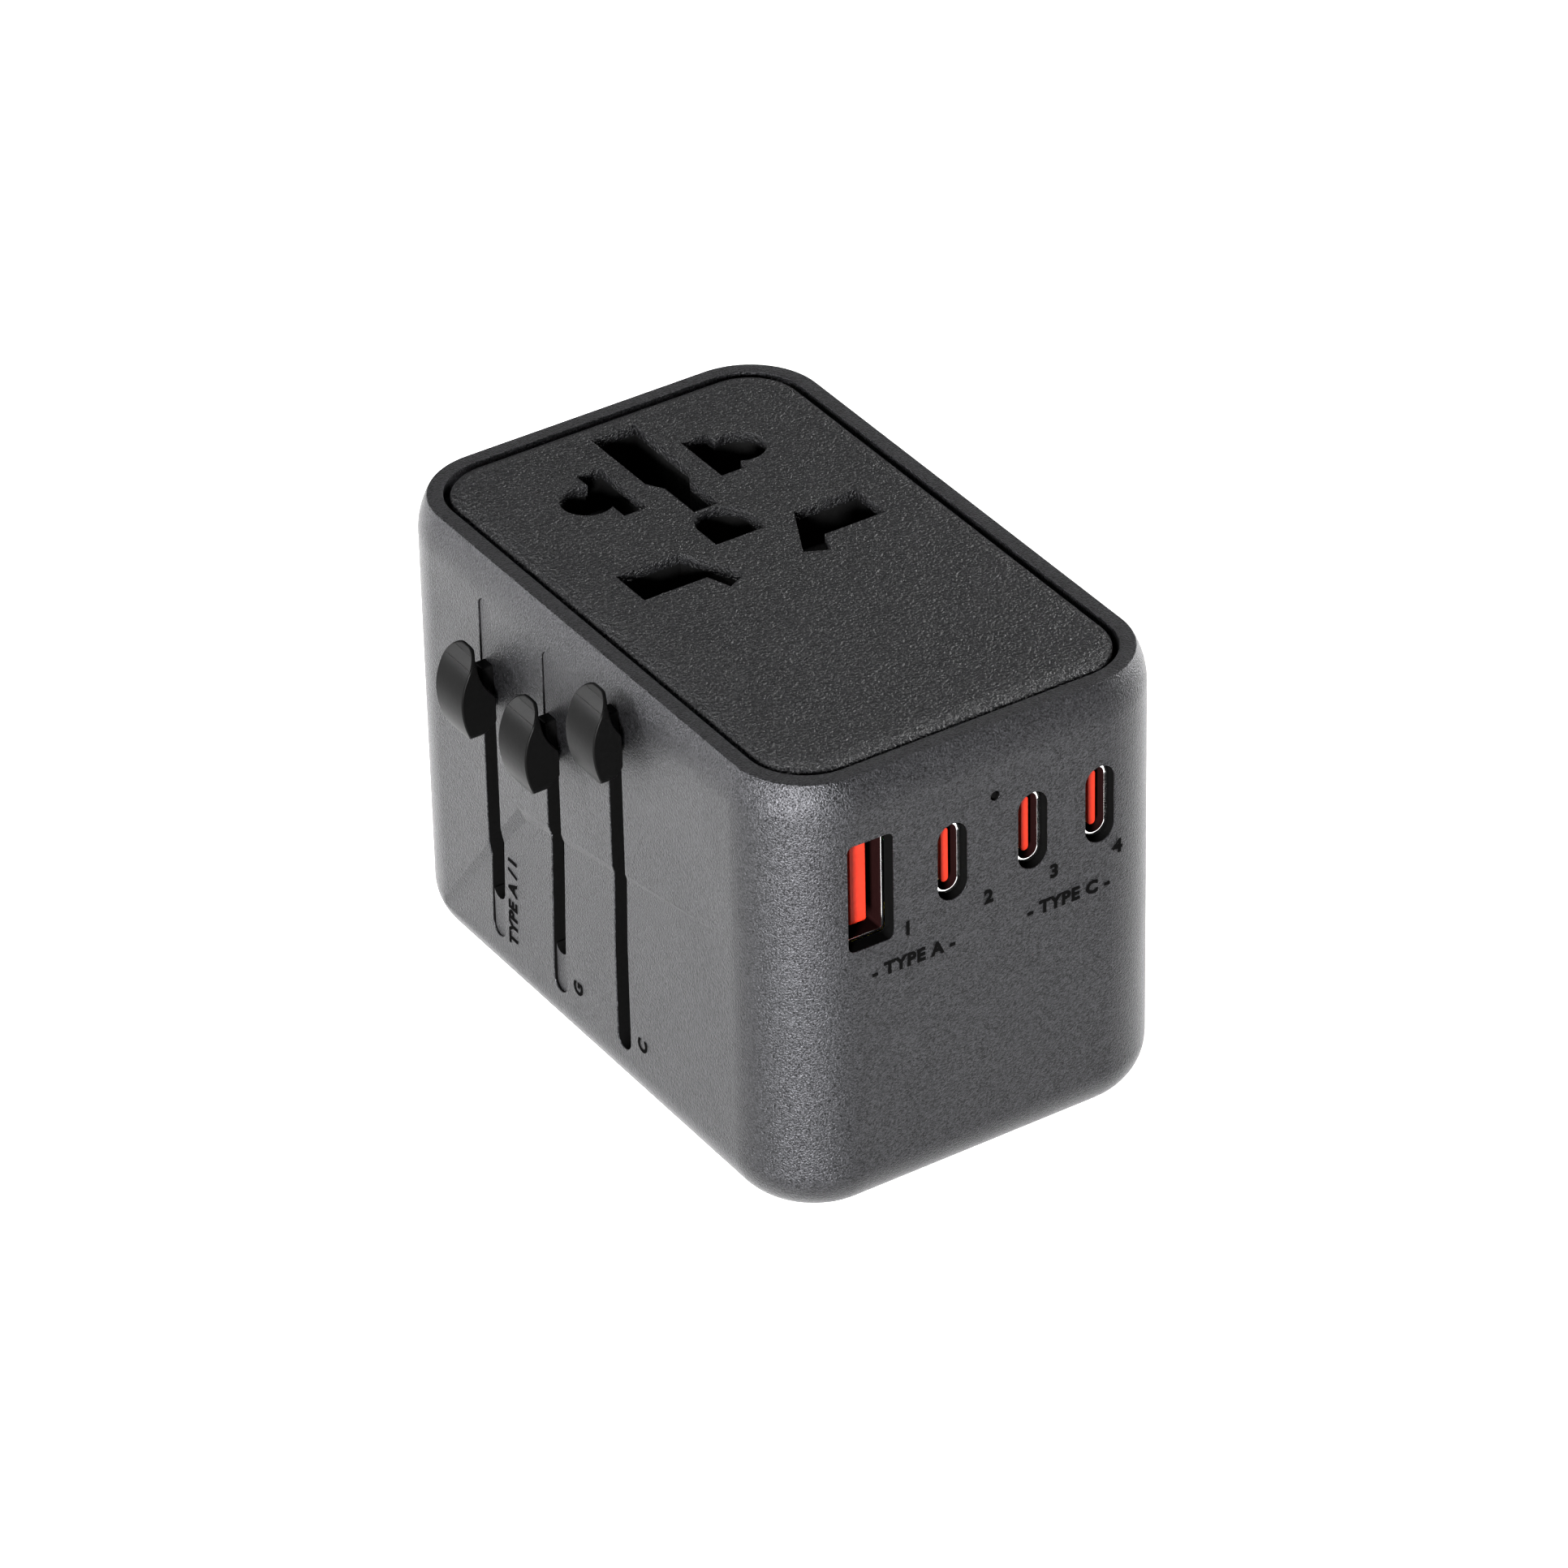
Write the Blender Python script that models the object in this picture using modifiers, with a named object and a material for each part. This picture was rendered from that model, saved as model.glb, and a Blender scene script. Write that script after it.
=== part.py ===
"""Universal travel adapter: a hollow casing with a multi-standard socket on top, four charging
ports in the front wall, and three sets of plug pins pushed out of the base by side sliders.

Every length is in millimetres and is scaled to metres when a mesh is made.
The origin is the centre of the base. +Z is up, the sliders are on -X and the ports face -Y.
"""

import math

import bmesh
import bpy
from mathutils import Matrix

MM = 0.001

# ---- driving dimensions -------------------------------------------------------------------
WIDTH = 49.4
DEPTH = 76.2
HEIGHT = 54.4
CORNER = 9.7
BASE_FILLET = 6.1
WALL = 1.8
GAP = 0.3

HALF_W = WIDTH / 2
HALF_D = DEPTH / 2
INNER_W = HALF_W - WALL
INNER_D = HALF_D - WALL

# Rim and shoulder of the casing, as (inset from the wall, drop below the top).
RIM_INNER = 2.85
RIM_OUTER = 1.1
RIM_DROP = 0.3
RIM_EDGE_DROP = 0.35
SHOULDER_DROP = 4.8
SHOULDER_TURN = 28
LIP_DROP = 3.0

# Base opening of the casing and the ledge over it.
BASE_INSET = 4.5
LEDGE_INSET = 6.3
LEDGE_LOW = 2.75
LEDGE_TOP = 4.3
PLATE_THICK = 2.4

# Socket plate.
SOCKET_GROOVE = 0.7
SOCKET_FLANGE_LOW = 49.3
SOCKET_FLANGE_TOP = 51.1

# Sliders: slot, stem and knob.
SLOT_WIDTH = 2.4
SLOT_LOW = 7.1
SLOT_TOP = 49.65
STEM_HALF = 0.8
STEM_HEIGHT = 4.0
SHORT_SLOT_LOW = 13.1
SHORT_SLOT_TOP = 41.1
SHORT_STEM_LOW = 36.8
LONG_STEM_LOW = 44.8
KNOB_BELOW = 2.1
KNOB_HEIGHT = 10.4
KNOB_WIDTH = 5.4
KNOB_OUT = 4.85
EU_KNOB_OUT = 4.2
KNOB_BACK = 0.7
USA_Y = 17.7
UK_Y = 5.25
EU_Y = -7.35
LINER_OUT = -22.6
LINER_IN = -21.6
ARM_OUT = -21.3
ARM_IN = -18.9

# Carriages and pins.
CARRIAGE_LOW = 25.9
CARRIAGE_TOP = 29.9
ARM_LOW = 27.9
UK_PIN_X = 11.1
UK_PIN_Y = 4.6
UK_EARTH_Y = UK_PIN_Y + 22.2
UK_PIN_TIP = 5.3
UK_EARTH_TIP = 1.0
PIN_WIDE = 6.35
PIN_THICK = 3.96
EARTH_WIDE = 7.92
BLADE_X = 6.35
BLADE_Y = 15.5
BLADE_TIP = 6.0
BLADE_THICK = 1.5
WELL_R = 3.8
HUB_R = 3.2
EU_BLOCK_Y = -9.95
EU_BLOCK_HALF = 16.6
EU_BLOCK_R = 6.6
EU_BLOCK_LOW = 21.0
EU_BLOCK_TOP = 39.6
EU_PIN_X = 9.5
EU_PIN_R = 2.0
EU_PIN_LENGTH = 19.0

# Charging ports in the front wall.
PORT_Z = 40.05
PORT_A_X = -13.85
PORT_A_SIZE = (5.4, 12.85)
PORT_C_X = (-3.95, 5.9, 14.2)
PORT_C_SIZE = (3.6, 9.2)
LED_X = 1.3
LED_Z = 46.05
BOARD_Y = -25.5
BOARD_THICK = 1.5

# Contact deck and shutters under the socket plate.
DECK_LOW = 31.8
DECK_TOP = 33.3
SHUTTER_LOW = 47.4
SHUTTER_TOP = 48.9
POSTS = ((-15.4, 11.6), (-15.4, 30.4), (19.0, 2.6), (18.8, 31.0))
POST_R = 1.5
PEG_REAR_Y = 9.6

FACETS = 24
ARC_STEPS = 7


# ---- scene ----------------------------------------------------------------------------------
for old in list(bpy.data.objects):
    bpy.data.objects.remove(old, do_unlink=True)

parts = bpy.data.collections.new("travel_adapter")
cutters = bpy.data.collections.new("cutters")
bpy.context.scene.collection.children.link(parts)
bpy.context.scene.collection.children.link(cutters)


def material(name, colour, metallic, roughness):
    """A plain Principled material."""
    made = bpy.data.materials.new(name)
    made.use_nodes = True
    shader = made.node_tree.nodes["Principled BSDF"]
    shader.inputs["Base Color"].default_value = (*colour, 1.0)
    shader.inputs["Metallic"].default_value = metallic
    shader.inputs["Roughness"].default_value = roughness
    return made


CASING = material("casing_plastic", (0.15, 0.15, 0.155), 0.3, 0.5)
TOP = material("top_plastic", (0.045, 0.045, 0.048), 0.0, 0.6)
KNOB = material("knob_plastic", (0.03, 0.03, 0.032), 0.0, 0.35)
INNER = material("inner_plastic", (0.09, 0.09, 0.09), 0.0, 0.6)
SHUTTER = material("shutter_plastic", (0.22, 0.22, 0.22), 0.0, 0.5)
RED = material("port_red", (0.6, 0.03, 0.015), 0.0, 0.4)
NICKEL = material("nickel", (0.7, 0.69, 0.66), 1.0, 0.28)
BRASS = material("brass", (0.75, 0.58, 0.27), 1.0, 0.35)
STEEL = material("steel", (0.5, 0.5, 0.5), 1.0, 0.35)
BOARD = material("board_green", (0.02, 0.12, 0.05), 0.0, 0.45)
CERAMIC = material("ceramic", (0.8, 0.79, 0.75), 0.0, 0.3)
YELLOW = material("tape_yellow", (0.7, 0.55, 0.08), 0.0, 0.4)
BLACK = material("capacitor_sleeve", (0.03, 0.03, 0.06), 0.0, 0.3)
LIGHT = material("light_pipe", (0.85, 0.9, 0.95), 0.0, 0.1)


# ---- mesh helpers ---------------------------------------------------------------------------
def finish(mesh, name, collection, smooth=False):
    """Turn a bmesh in millimetres into a linked object in metres."""
    bmesh.ops.recalc_face_normals(mesh, faces=mesh.faces)
    bmesh.ops.scale(mesh, vec=(MM, MM, MM), verts=mesh.verts)
    data = bpy.data.meshes.new(name)
    mesh.to_mesh(data)
    mesh.free()
    if smooth:
        data.shade_smooth()
        data.set_sharp_from_angle(angle=math.radians(35))
    made = bpy.data.objects.new(name, data)
    collection.objects.link(made)
    if collection is cutters:
        made.hide_render = True
        made.display_type = "WIRE"
    return made


def outline(half_x, half_y, radius, centre=(0.0, 0.0), steps=ARC_STEPS):
    """Points round a rounded rectangle, anticlockwise from its right side."""
    points = []
    corners = ((1, 1, 0), (-1, 1, 90), (-1, -1, 180), (1, -1, 270))
    for side_x, side_y, start in corners:
        for step in range(steps + 1):
            angle = math.radians(start + 90 * step / steps)
            x = centre[0] + side_x * (half_x - radius) + radius * math.cos(angle)
            y = centre[1] + side_y * (half_y - radius) + radius * math.sin(angle)
            points.append((x, y))
    return points


def lift(plane, u, v, w):
    """Place an outline point (u, v) of the named plane at the height w along its normal."""
    return {"XY": (u, v, w), "XZ": (u, w, v), "YZ": (w, u, v)}[plane]


def prism(name, points, low, high, plane="XY", collection=None, smooth=False):
    """Extrude a flat outline from low to high along the normal of its plane."""
    mesh = bmesh.new()
    base = mesh.faces.new([mesh.verts.new(lift(plane, u, v, low)) for u, v in points])
    grown = bmesh.ops.extrude_face_region(mesh, geom=[base])
    top = [item for item in grown["geom"] if isinstance(item, bmesh.types.BMVert)]
    bmesh.ops.translate(mesh, vec=lift(plane, 0.0, 0.0, high - low), verts=top)
    return finish(mesh, name, collection or cutters, smooth)


def box(name, x, y, z, collection=None):
    """A box from three (low, high) pairs."""
    mesh = bmesh.new()
    centre = [(pair[0] + pair[1]) / 2 for pair in (x, y, z)]
    size = [pair[1] - pair[0] for pair in (x, y, z)]
    place = Matrix.Translation(centre) @ Matrix.Diagonal((*size, 1.0))
    bmesh.ops.create_cube(mesh, size=1.0, matrix=place)
    return finish(mesh, name, collection or cutters)


def rod(name, centre, radius, low, high, axis="Z", collection=None, facets=FACETS):
    """A cylinder along an axis. The centre is given in the two other axes."""
    mesh = bmesh.new()
    turn = {"Z": Matrix(), "Y": Matrix.Rotation(math.pi / 2, 4, "X"),
            "X": Matrix.Rotation(math.pi / 2, 4, "Y")}[axis]
    middle = (low + high) / 2
    u, v = centre
    spot = {"Z": (u, v, middle), "Y": (u, middle, v), "X": (middle, u, v)}[axis]
    bmesh.ops.create_cone(mesh, cap_ends=True, segments=facets, radius1=radius, radius2=radius,
                          depth=high - low, matrix=Matrix.Translation(spot) @ turn)
    return finish(mesh, name, collection or cutters, smooth=True)


def lofted(name, profile, half_x, half_y, radius, ring, collection=None):
    """Carry a (inset, height) profile round a rounded rectangle.

    With ring, the profile closes on itself and leaves the middle open. Without it, the first
    and the last outline are capped.
    """
    mesh = bmesh.new()
    loops = []
    for inset, z in profile:
        corner = max(radius - inset, 0.4)
        points = outline(half_x - inset, half_y - inset, corner)
        loops.append([mesh.verts.new((x, y, z)) for x, y in points])
    pairs = list(zip(loops, loops[1:]))
    if ring:
        pairs.append((loops[-1], loops[0]))
    for lower, upper in pairs:
        for i in range(len(lower)):
            mesh.faces.new((lower[i - 1], lower[i], upper[i], upper[i - 1]))
    if not ring:
        mesh.faces.new(loops[0])
        mesh.faces.new(loops[-1])
    return finish(mesh, name, collection or cutters, smooth=True)


def boolean(piece, tools, operation):
    """Join tools to a piece, or cut them from it."""
    for tool in tools:
        step = piece.modifiers.new(tool.name, "BOOLEAN")
        step.operation = operation
        step.solver = "EXACT"
        step.object = tool


def join(piece, *tools):
    boolean(piece, tools, "UNION")


def cut(piece, *tools):
    boolean(piece, tools, "DIFFERENCE")


def soften(piece, width, segments=2, angle=40):
    """Round a piece's edges."""
    step = piece.modifiers.new("soft_edges", "BEVEL")
    step.width = width * MM
    step.segments = segments
    step.limit_method = "ANGLE"
    step.angle_limit = math.radians(angle)


def paint(piece, made):
    piece.data.materials.clear()
    piece.data.materials.append(made)


def carrier(name, place):
    """An empty on a moving body's axis, for its pieces to hang from."""
    made = bpy.data.objects.new(name, None)
    made.location = [value * MM for value in place]
    parts.objects.link(made)
    return made


def attach(parent, *pieces):
    """Parent pieces to a carrier, keeping them where they are."""
    for piece in pieces:
        piece.parent = parent
        piece.location = piece.location - parent.location


def stadium(half_long, radius, centre, steps=6):
    """An outline with two round ends, long in its second direction."""
    return outline(radius, half_long, radius, centre, steps)


# ---- socket openings ------------------------------------------------------------------------
def earth_outline(grow):
    """The tapered three-blade earth slot, wide at the back and narrow at the front."""
    wide = 2.75 + grow
    narrow = 1.55 + grow
    neck = [(wide - (wide - narrow) * math.sin(math.radians(a)) ** 2, 20.9 - 2.0 * a / 90)
            for a in (0, 30, 60, 90)]
    right = [(narrow, 13.3 - grow)] + neck[::-1] + [(wide, 31.6 + grow)]
    return right + [(-x, y) for x, y in reversed(right)]


def round_topped_outline():
    """The round earth-pin hole with a flat front."""
    arc = [(3.1 * math.cos(math.radians(a)), 9.95 + 3.1 * math.sin(math.radians(a)))
           for a in range(0, 181, 20)]
    return [(3.1, 6.6)] + arc + [(-3.1, 6.6)]


def angled_outline(side):
    """The slanted blade slot that runs inward from a rectangular one."""
    points = [(-7.4, 2.2), (-6.2, -1.0), (-3.55, 0.3), (-5.9, 5.6), (-7.4, 5.6)]
    return [(-side * x, y) for x, y in points]


def socket_cutters():
    """Every opening in the socket plate."""
    low = SOCKET_FLANGE_LOW - 2
    high = HEIGHT + 2
    made = [
        prism("cut_earth", earth_outline(0.0), low, high),
        prism("cut_round_earth", round_topped_outline(), low, high),
        box("cut_blade_long", (-7.9, -4.85), (16.85, 26.4), (low, high)),
        box("cut_blade_short", (4.75, 8.0), (17.7, 25.7), (low, high)),
    ]
    for side, tag in ((-1, "left"), (1, "right")):
        made.append(rod("cut_round_" + tag, (side * 9.5, 21.6), 2.95, low, high))
        made.append(box("cut_flat_" + tag, sorted((side * 7.05, side * 14.95)), (1.9, 7.45),
                        (low, high)))
        made.append(prism("cut_angled_" + tag, angled_outline(side), low, high))
    return made


# ---- fixed shells ---------------------------------------------------------------------------
def slider_slots():
    """The three slots in the left wall, each with round ends."""
    made = []
    middle = (SLOT_LOW + SLOT_TOP) / 2
    for tag, y in (("usa", USA_Y), ("uk", UK_Y), ("eu", EU_Y)):
        points = stadium((SLOT_TOP - SLOT_LOW) / 2, SLOT_WIDTH / 2, (y, middle), 4)
        made.append(prism("slot_" + tag, points, -HALF_W - 2, -INNER_W + 0.4, "YZ"))
    return made


def port_cutters():
    """The four port windows and the lamp hole in the front wall."""
    low = -HALF_D - 2
    high = -INNER_D + 1
    width, tall = PORT_A_SIZE
    window = outline(width / 2, tall / 2, 0.7, (PORT_A_X, PORT_Z), 3)
    made = [prism("window_a", window, low, high, "XZ")]
    width, tall = PORT_C_SIZE
    for index, x in enumerate(PORT_C_X, start=1):
        window = stadium(tall / 2, width / 2, (x, PORT_Z))
        made.append(prism("window_c_%d" % index, window, low, high, "XZ"))
    made.append(rod("window_lamp", (LED_X, LED_Z), 0.55, low, high, "Y", facets=12))
    return made


def side_facet():
    """A shallow sloping facet low on the left wall, deepest in its rear top corner.

    Its upper and rear edges are ramps, and it runs out level with the wall toward the front.
    """
    slope_z = 0.0237
    slope_y = 0.01445
    proud = 2.0
    outer_points = [(16.3, 32.7), (-33.0, 40.9), (-33.0, 2.0), (41.6, 2.0)]
    inner_points = [(11.9, 25.1), (-33.0, 34.1), (-33.0, 2.0), (31.8, 2.0)]
    mesh = bmesh.new()
    outer = [mesh.verts.new((-HALF_W - proud, y, z)) for y, z in outer_points]
    inner = [mesh.verts.new((-HALF_W + slope_z * (z - 8) + slope_y * (y - 11), y, z))
             for y, z in inner_points]
    bmesh.ops.convex_hull(mesh, input=outer + inner)
    return finish(mesh, "facet", cutters)


def screw_spots():
    return [(x, y) for x in (-16.6, 16.6) for y in (-30.0, 30.0)]


def build_casing():
    """The outer casing: a sleeve with a rolled base edge, a shoulder and a rim."""
    fillet = [(BASE_FILLET * (1 - math.sin(math.radians(a))),
               BASE_FILLET * (1 - math.cos(math.radians(a)))) for a in (30, 45, 60, 75, 90)]
    low_z = BASE_FILLET - math.sqrt(BASE_FILLET ** 2 - (BASE_FILLET - BASE_INSET) ** 2)
    turn = math.radians(SHOULDER_TURN)
    rise = (SHOULDER_DROP - RIM_EDGE_DROP) / math.sin(turn)
    shoulder = [(RIM_OUTER * (1 - math.cos(turn * step / 3)) / (1 - math.cos(turn)),
                 HEIGHT - SHOULDER_DROP + rise * math.sin(turn * step / 3)) for step in range(4)]
    inner = [(RIM_INNER, HEIGHT - RIM_DROP), (RIM_INNER, HEIGHT - LIP_DROP),
             (WALL, HEIGHT - LIP_DROP), (WALL, BASE_FILLET), (2.6, LEDGE_TOP),
             (LEDGE_INSET, LEDGE_TOP), (LEDGE_INSET, LEDGE_LOW), (BASE_INSET, LEDGE_LOW)]
    profile = [(BASE_INSET, low_z)] + fillet + shoulder + inner
    casing = lofted("outer_casing", profile, HALF_W, HALF_D, CORNER, True, parts)
    for index, spot in enumerate(screw_spots(), start=1):
        join(casing, rod("boss_%d" % index, spot, 2.4, LEDGE_LOW + 0.05, 10.0, facets=12))
        cut(casing, rod("boss_hole_%d" % index, spot, 1.3, 1.0, 9.0, facets=12))
    cut(casing, *slider_slots(), *port_cutters(), side_facet())
    paint(casing, CASING)


def build_socket_plate():
    """The top plate: a pillow face on a flange, with posts and shutter rails below it."""
    face = RIM_INNER + SOCKET_GROOVE
    under = HALF_W - INNER_W + GAP
    profile = [(under, SOCKET_FLANGE_LOW), (under, SOCKET_FLANGE_TOP), (face, SOCKET_FLANGE_TOP),
               (face, HEIGHT - 0.75), (face + 0.25, HEIGHT - 0.25), (face + 0.85, HEIGHT)]
    plate = lofted("socket_plate", profile, HALF_W, HALF_D, CORNER, False, parts)
    for index, spot in enumerate(POSTS, start=1):
        join(plate, rod("post_%d" % index, spot, POST_R, DECK_TOP + 0.2, 50.0, facets=12))
        cut(plate, rod("post_hole_%d" % index, spot, 0.9, DECK_TOP - 1, 41.0, facets=8))
    for tag, side in (("left", -1), ("right", 1)):
        for row, wall, lip, y in (("front", 15.5, 14.9, (-11.2, 9.4)),
                                  ("rear", 13.3, 12.3, (15.9, 30.5))):
            join(plate,
                 box("rail_%s_%s" % (row, tag), sorted((side * wall, side * (wall + 1.2))), y,
                     (46.3, 50.0)),
                 box("lip_%s_%s" % (row, tag), sorted((side * lip, side * (wall + 1.2))), y,
                     (46.3, 47.1)))
    join(plate, box("peg_front", (-7.1, -5.9), (13.9, 14.9), (47.0, 50.0)))
    for tag, x in (("left", -9.5), ("right", 9.5)):
        join(plate, box("peg_" + tag, (x - 0.6, x + 0.6), (PEG_REAR_Y - 0.5, PEG_REAR_Y + 0.5),
                        (47.0, 50.0)))
    cut(plate, *socket_cutters())
    paint(plate, TOP)


def build_pin_face_plate():
    """The base plate, with the openings that the pins come out of."""
    inset = BASE_INSET + GAP
    profile = [(inset + 0.4, 0.0), (inset, 0.4), (inset, PLATE_THICK)]
    plate = lofted("pin_face_plate", profile, HALF_W, HALF_D, CORNER, False, parts)
    block = outline(EU_BLOCK_HALF + 0.4, EU_BLOCK_R + 0.4, EU_BLOCK_R + 0.4, (0, EU_BLOCK_Y), 6)
    tools = [prism("opening_eu", block, -1, PLATE_THICK + 1)]
    for tag, side in (("left", -1), ("right", 1)):
        tools.append(box("opening_uk_" + tag,
                         (side * UK_PIN_X - PIN_WIDE / 2 - GAP, side * UK_PIN_X + PIN_WIDE / 2 + GAP),
                         (UK_PIN_Y - PIN_THICK / 2 - GAP, UK_PIN_Y + PIN_THICK / 2 + GAP),
                         (-1, PLATE_THICK + 1)))
        tools.append(rod("opening_blade_" + tag, (side * BLADE_X, BLADE_Y), WELL_R, -1,
                         PLATE_THICK + 1))
    tools.append(box("opening_uk_earth", (-PIN_THICK / 2 - GAP, PIN_THICK / 2 + GAP),
                     (UK_EARTH_Y - EARTH_WIDE / 2 - GAP, UK_EARTH_Y + EARTH_WIDE / 2 + GAP),
                     (-1, PLATE_THICK + 1)))
    for index, spot in enumerate(screw_spots(), start=1):
        tools.append(rod("screw_hole_%d" % index, spot, 1.3, -1, PLATE_THICK + 1, facets=12))
        tools.append(rod("screw_seat_%d" % index, spot, 2.2, -1, 1.3, facets=16))
    cut(plate, *tools)
    paint(plate, CASING)


def build_liner():
    """The slider guide behind the left wall, whose ribs fill the unused ends of two slots."""
    liner = box("slider_guide_liner", (LINER_OUT, LINER_IN), (-13.0, 23.5), (7.0, 48.9), parts)
    rib_out = -HALF_W + 0.1
    for tag, y in (("usa", USA_Y), ("uk", UK_Y)):
        for end, span in (("top", (SHORT_SLOT_TOP, SLOT_TOP - 0.9)),
                          ("low", (SLOT_LOW + 0.9, SHORT_SLOT_LOW - GAP))):
            join(liner, box("rib_%s_%s" % (tag, end), (rib_out, LINER_IN - 0.2),
                            (y - SLOT_WIDTH / 2 + 0.1, y + SLOT_WIDTH / 2 - GAP), span))
        cut(liner, box("gate_" + tag, (LINER_OUT - 1, LINER_IN + 1),
                       (y - SLOT_WIDTH / 2, y + SLOT_WIDTH / 2),
                       (SHORT_SLOT_LOW - GAP, SHORT_SLOT_TOP)))
    cut(liner, box("gate_eu", (LINER_OUT - 1, LINER_IN + 1),
                   (EU_Y - SLOT_WIDTH / 2, EU_Y + SLOT_WIDTH / 2), (SLOT_LOW, 50.0)))
    paint(liner, CASING)


def build_partition():
    """The wall between the charger and the plug mechanism."""
    wall = box("charger_partition", (-INNER_W + GAP, INNER_W - GAP), (-17.9, -17.0),
               (BASE_FILLET + GAP, SOCKET_FLANGE_LOW - GAP), parts)
    cut(wall, box("wire_notch", (8.0, 14.0), (-19, -16), (42.0, 50.0)))
    paint(wall, INNER)


# ---- contacts and shutters ------------------------------------------------------------------
def build_deck():
    """The insulating deck that carries the contacts."""
    deck = prism("contact_deck", outline(19.3, 17.6, 5.0, (2.1, 16.8), 4), DECK_LOW, DECK_TOP,
                 collection=parts)
    for index, spot in enumerate(POSTS, start=1):
        cut(deck, rod("deck_hole_%d" % index, spot, 0.9, 30.0, 35.0, facets=8))
    paint(deck, INNER)


def build_contacts():
    """Two line contacts and one earth contact, bent from strip."""
    floor = (DECK_TOP + GAP, DECK_TOP + 1.1)
    up = (DECK_TOP + GAP, 46.0)
    for name, side in (("live_contact", -1), ("neutral_contact", 1)):
        piece = box(name, sorted((side * 4.4, side * 13.2)), (1.6, 26.6), floor, parts)
        for tag, x, y in (("front", (7.0, 13.2), (7.7, 8.5)), ("front_low", (7.0, 13.2), (1.6, 2.3)),
                          ("blade", (4.4, 5.1), (17.4, 25.4)), ("outer", (12.5, 13.2), (18.0, 25.2))):
            join(piece, box("%s_%s" % (name, tag), sorted((side * x[0], side * x[1])), y, up))
        paint(piece, BRASS)
    earth = box("earth_contact", (-3.6, 3.6), (12.6, 34.4), floor, parts)
    join(earth, box("earth_left", (-3.6, -2.95), (21.6, 31.0), up),
         box("earth_right", (2.95, 3.6), (21.6, 31.0), up),
         box("earth_rear", (-3.6, 3.6), (33.6, 34.4), (DECK_TOP + GAP, 42.0)))
    paint(earth, BRASS)


def spring(name, x, start, end, z):
    """A light extension spring along Y, between a peg and a shutter."""
    turns = 6
    steps = 10
    count = turns * steps
    curve = bpy.data.curves.new(name, "CURVE")
    curve.dimensions = "3D"
    curve.bevel_depth = 0.16 * MM
    curve.bevel_resolution = 1
    curve.use_fill_caps = True
    line = curve.splines.new("POLY")
    line.points.add(count)
    for index, point in enumerate(line.points):
        angle = 2 * math.pi * index / steps
        y = start + (end - start) * index / count
        point.co = ((x + 0.62 * math.cos(angle)) * MM, y * MM, (z + 0.62 * math.sin(angle)) * MM, 1.0)
    made = bpy.data.objects.new(name, curve)
    parts.objects.link(made)
    curve.materials.append(STEEL)
    return made


def build_shutters():
    """The sprung shutters that close the line openings: one in front and a pair behind."""
    height = (SHUTTER_LOW, SHUTTER_TOP)
    middle = (SHUTTER_LOW + SHUTTER_TOP) / 2
    front = box("front_shutter", (-15.2, 15.2), (-1.7, 8.2), height, parts)
    cut(front, box("front_shutter_gap", (-3.5, 3.5), (5.9, 9.0), (46, 50)))
    paint(front, SHUTTER)
    attach(carrier("front_shutter_slide", (0, 8.2, SHUTTER_TOP)), front)
    spring("front_shutter_spring", -6.5, 8.65, 13.5, middle)
    for tag, side in (("left", -1), ("right", 1)):
        name = "rear_shutter_" + tag
        rear = box(name, sorted((side * 3.4, side * 13.0)), (16.3, 27.0), height, parts)
        paint(rear, SHUTTER)
        attach(carrier(name + "_slide", (side * 9.5, 16.3, SHUTTER_TOP)), rear)
        spring(name + "_spring", side * 9.5, PEG_REAR_Y + 0.9, 15.85, middle)


# ---- charger --------------------------------------------------------------------------------
def port_shell(name, points, inside, low, high):
    """A pressed connector shell: a tube of the given outline."""
    shell = prism(name, points, low, high, "XZ", parts, True)
    cut(shell, prism(name + "_bore", inside, low - 1, high - 0.5, "XZ"))
    paint(shell, NICKEL)


def build_ports():
    """The four connector shells and their contact tongues."""
    back = BOARD_Y - GAP
    front = -INNER_D + GAP
    width, tall = PORT_A_SIZE
    spot = (PORT_A_X, PORT_Z)
    port_shell("usb_a_shell", outline(width / 2 + 0.15, tall / 2 + 0.15, 0.6, spot, 2),
               outline(width / 2 - 0.15, tall / 2 - 0.15, 0.4, spot, 2), front, back)
    tongue = box("usb_a_tongue", (PORT_A_X - 1.05, PORT_A_X + 0.85),
                 (front + 0.2, back - 0.5 - GAP), (PORT_Z - 5.6, PORT_Z + 5.6), parts)
    paint(tongue, RED)
    width, tall = PORT_C_SIZE
    for index, x in enumerate(PORT_C_X, start=1):
        radius = width / 2 - 0.2
        port_shell("usb_c_shell_%d" % index, stadium(tall / 2 - 0.2, radius, (x, PORT_Z), 5),
                   stadium(tall / 2 - 0.55, radius - 0.35, (x, PORT_Z), 5), front - 1.0, back)
        tongue = box("usb_c_tongue_%d" % index, (x - 0.45, x + 0.45),
                     (front - 0.6, back - 0.5 - GAP), (PORT_Z - 3.3, PORT_Z + 3.3), parts)
        paint(tongue, RED)


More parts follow.
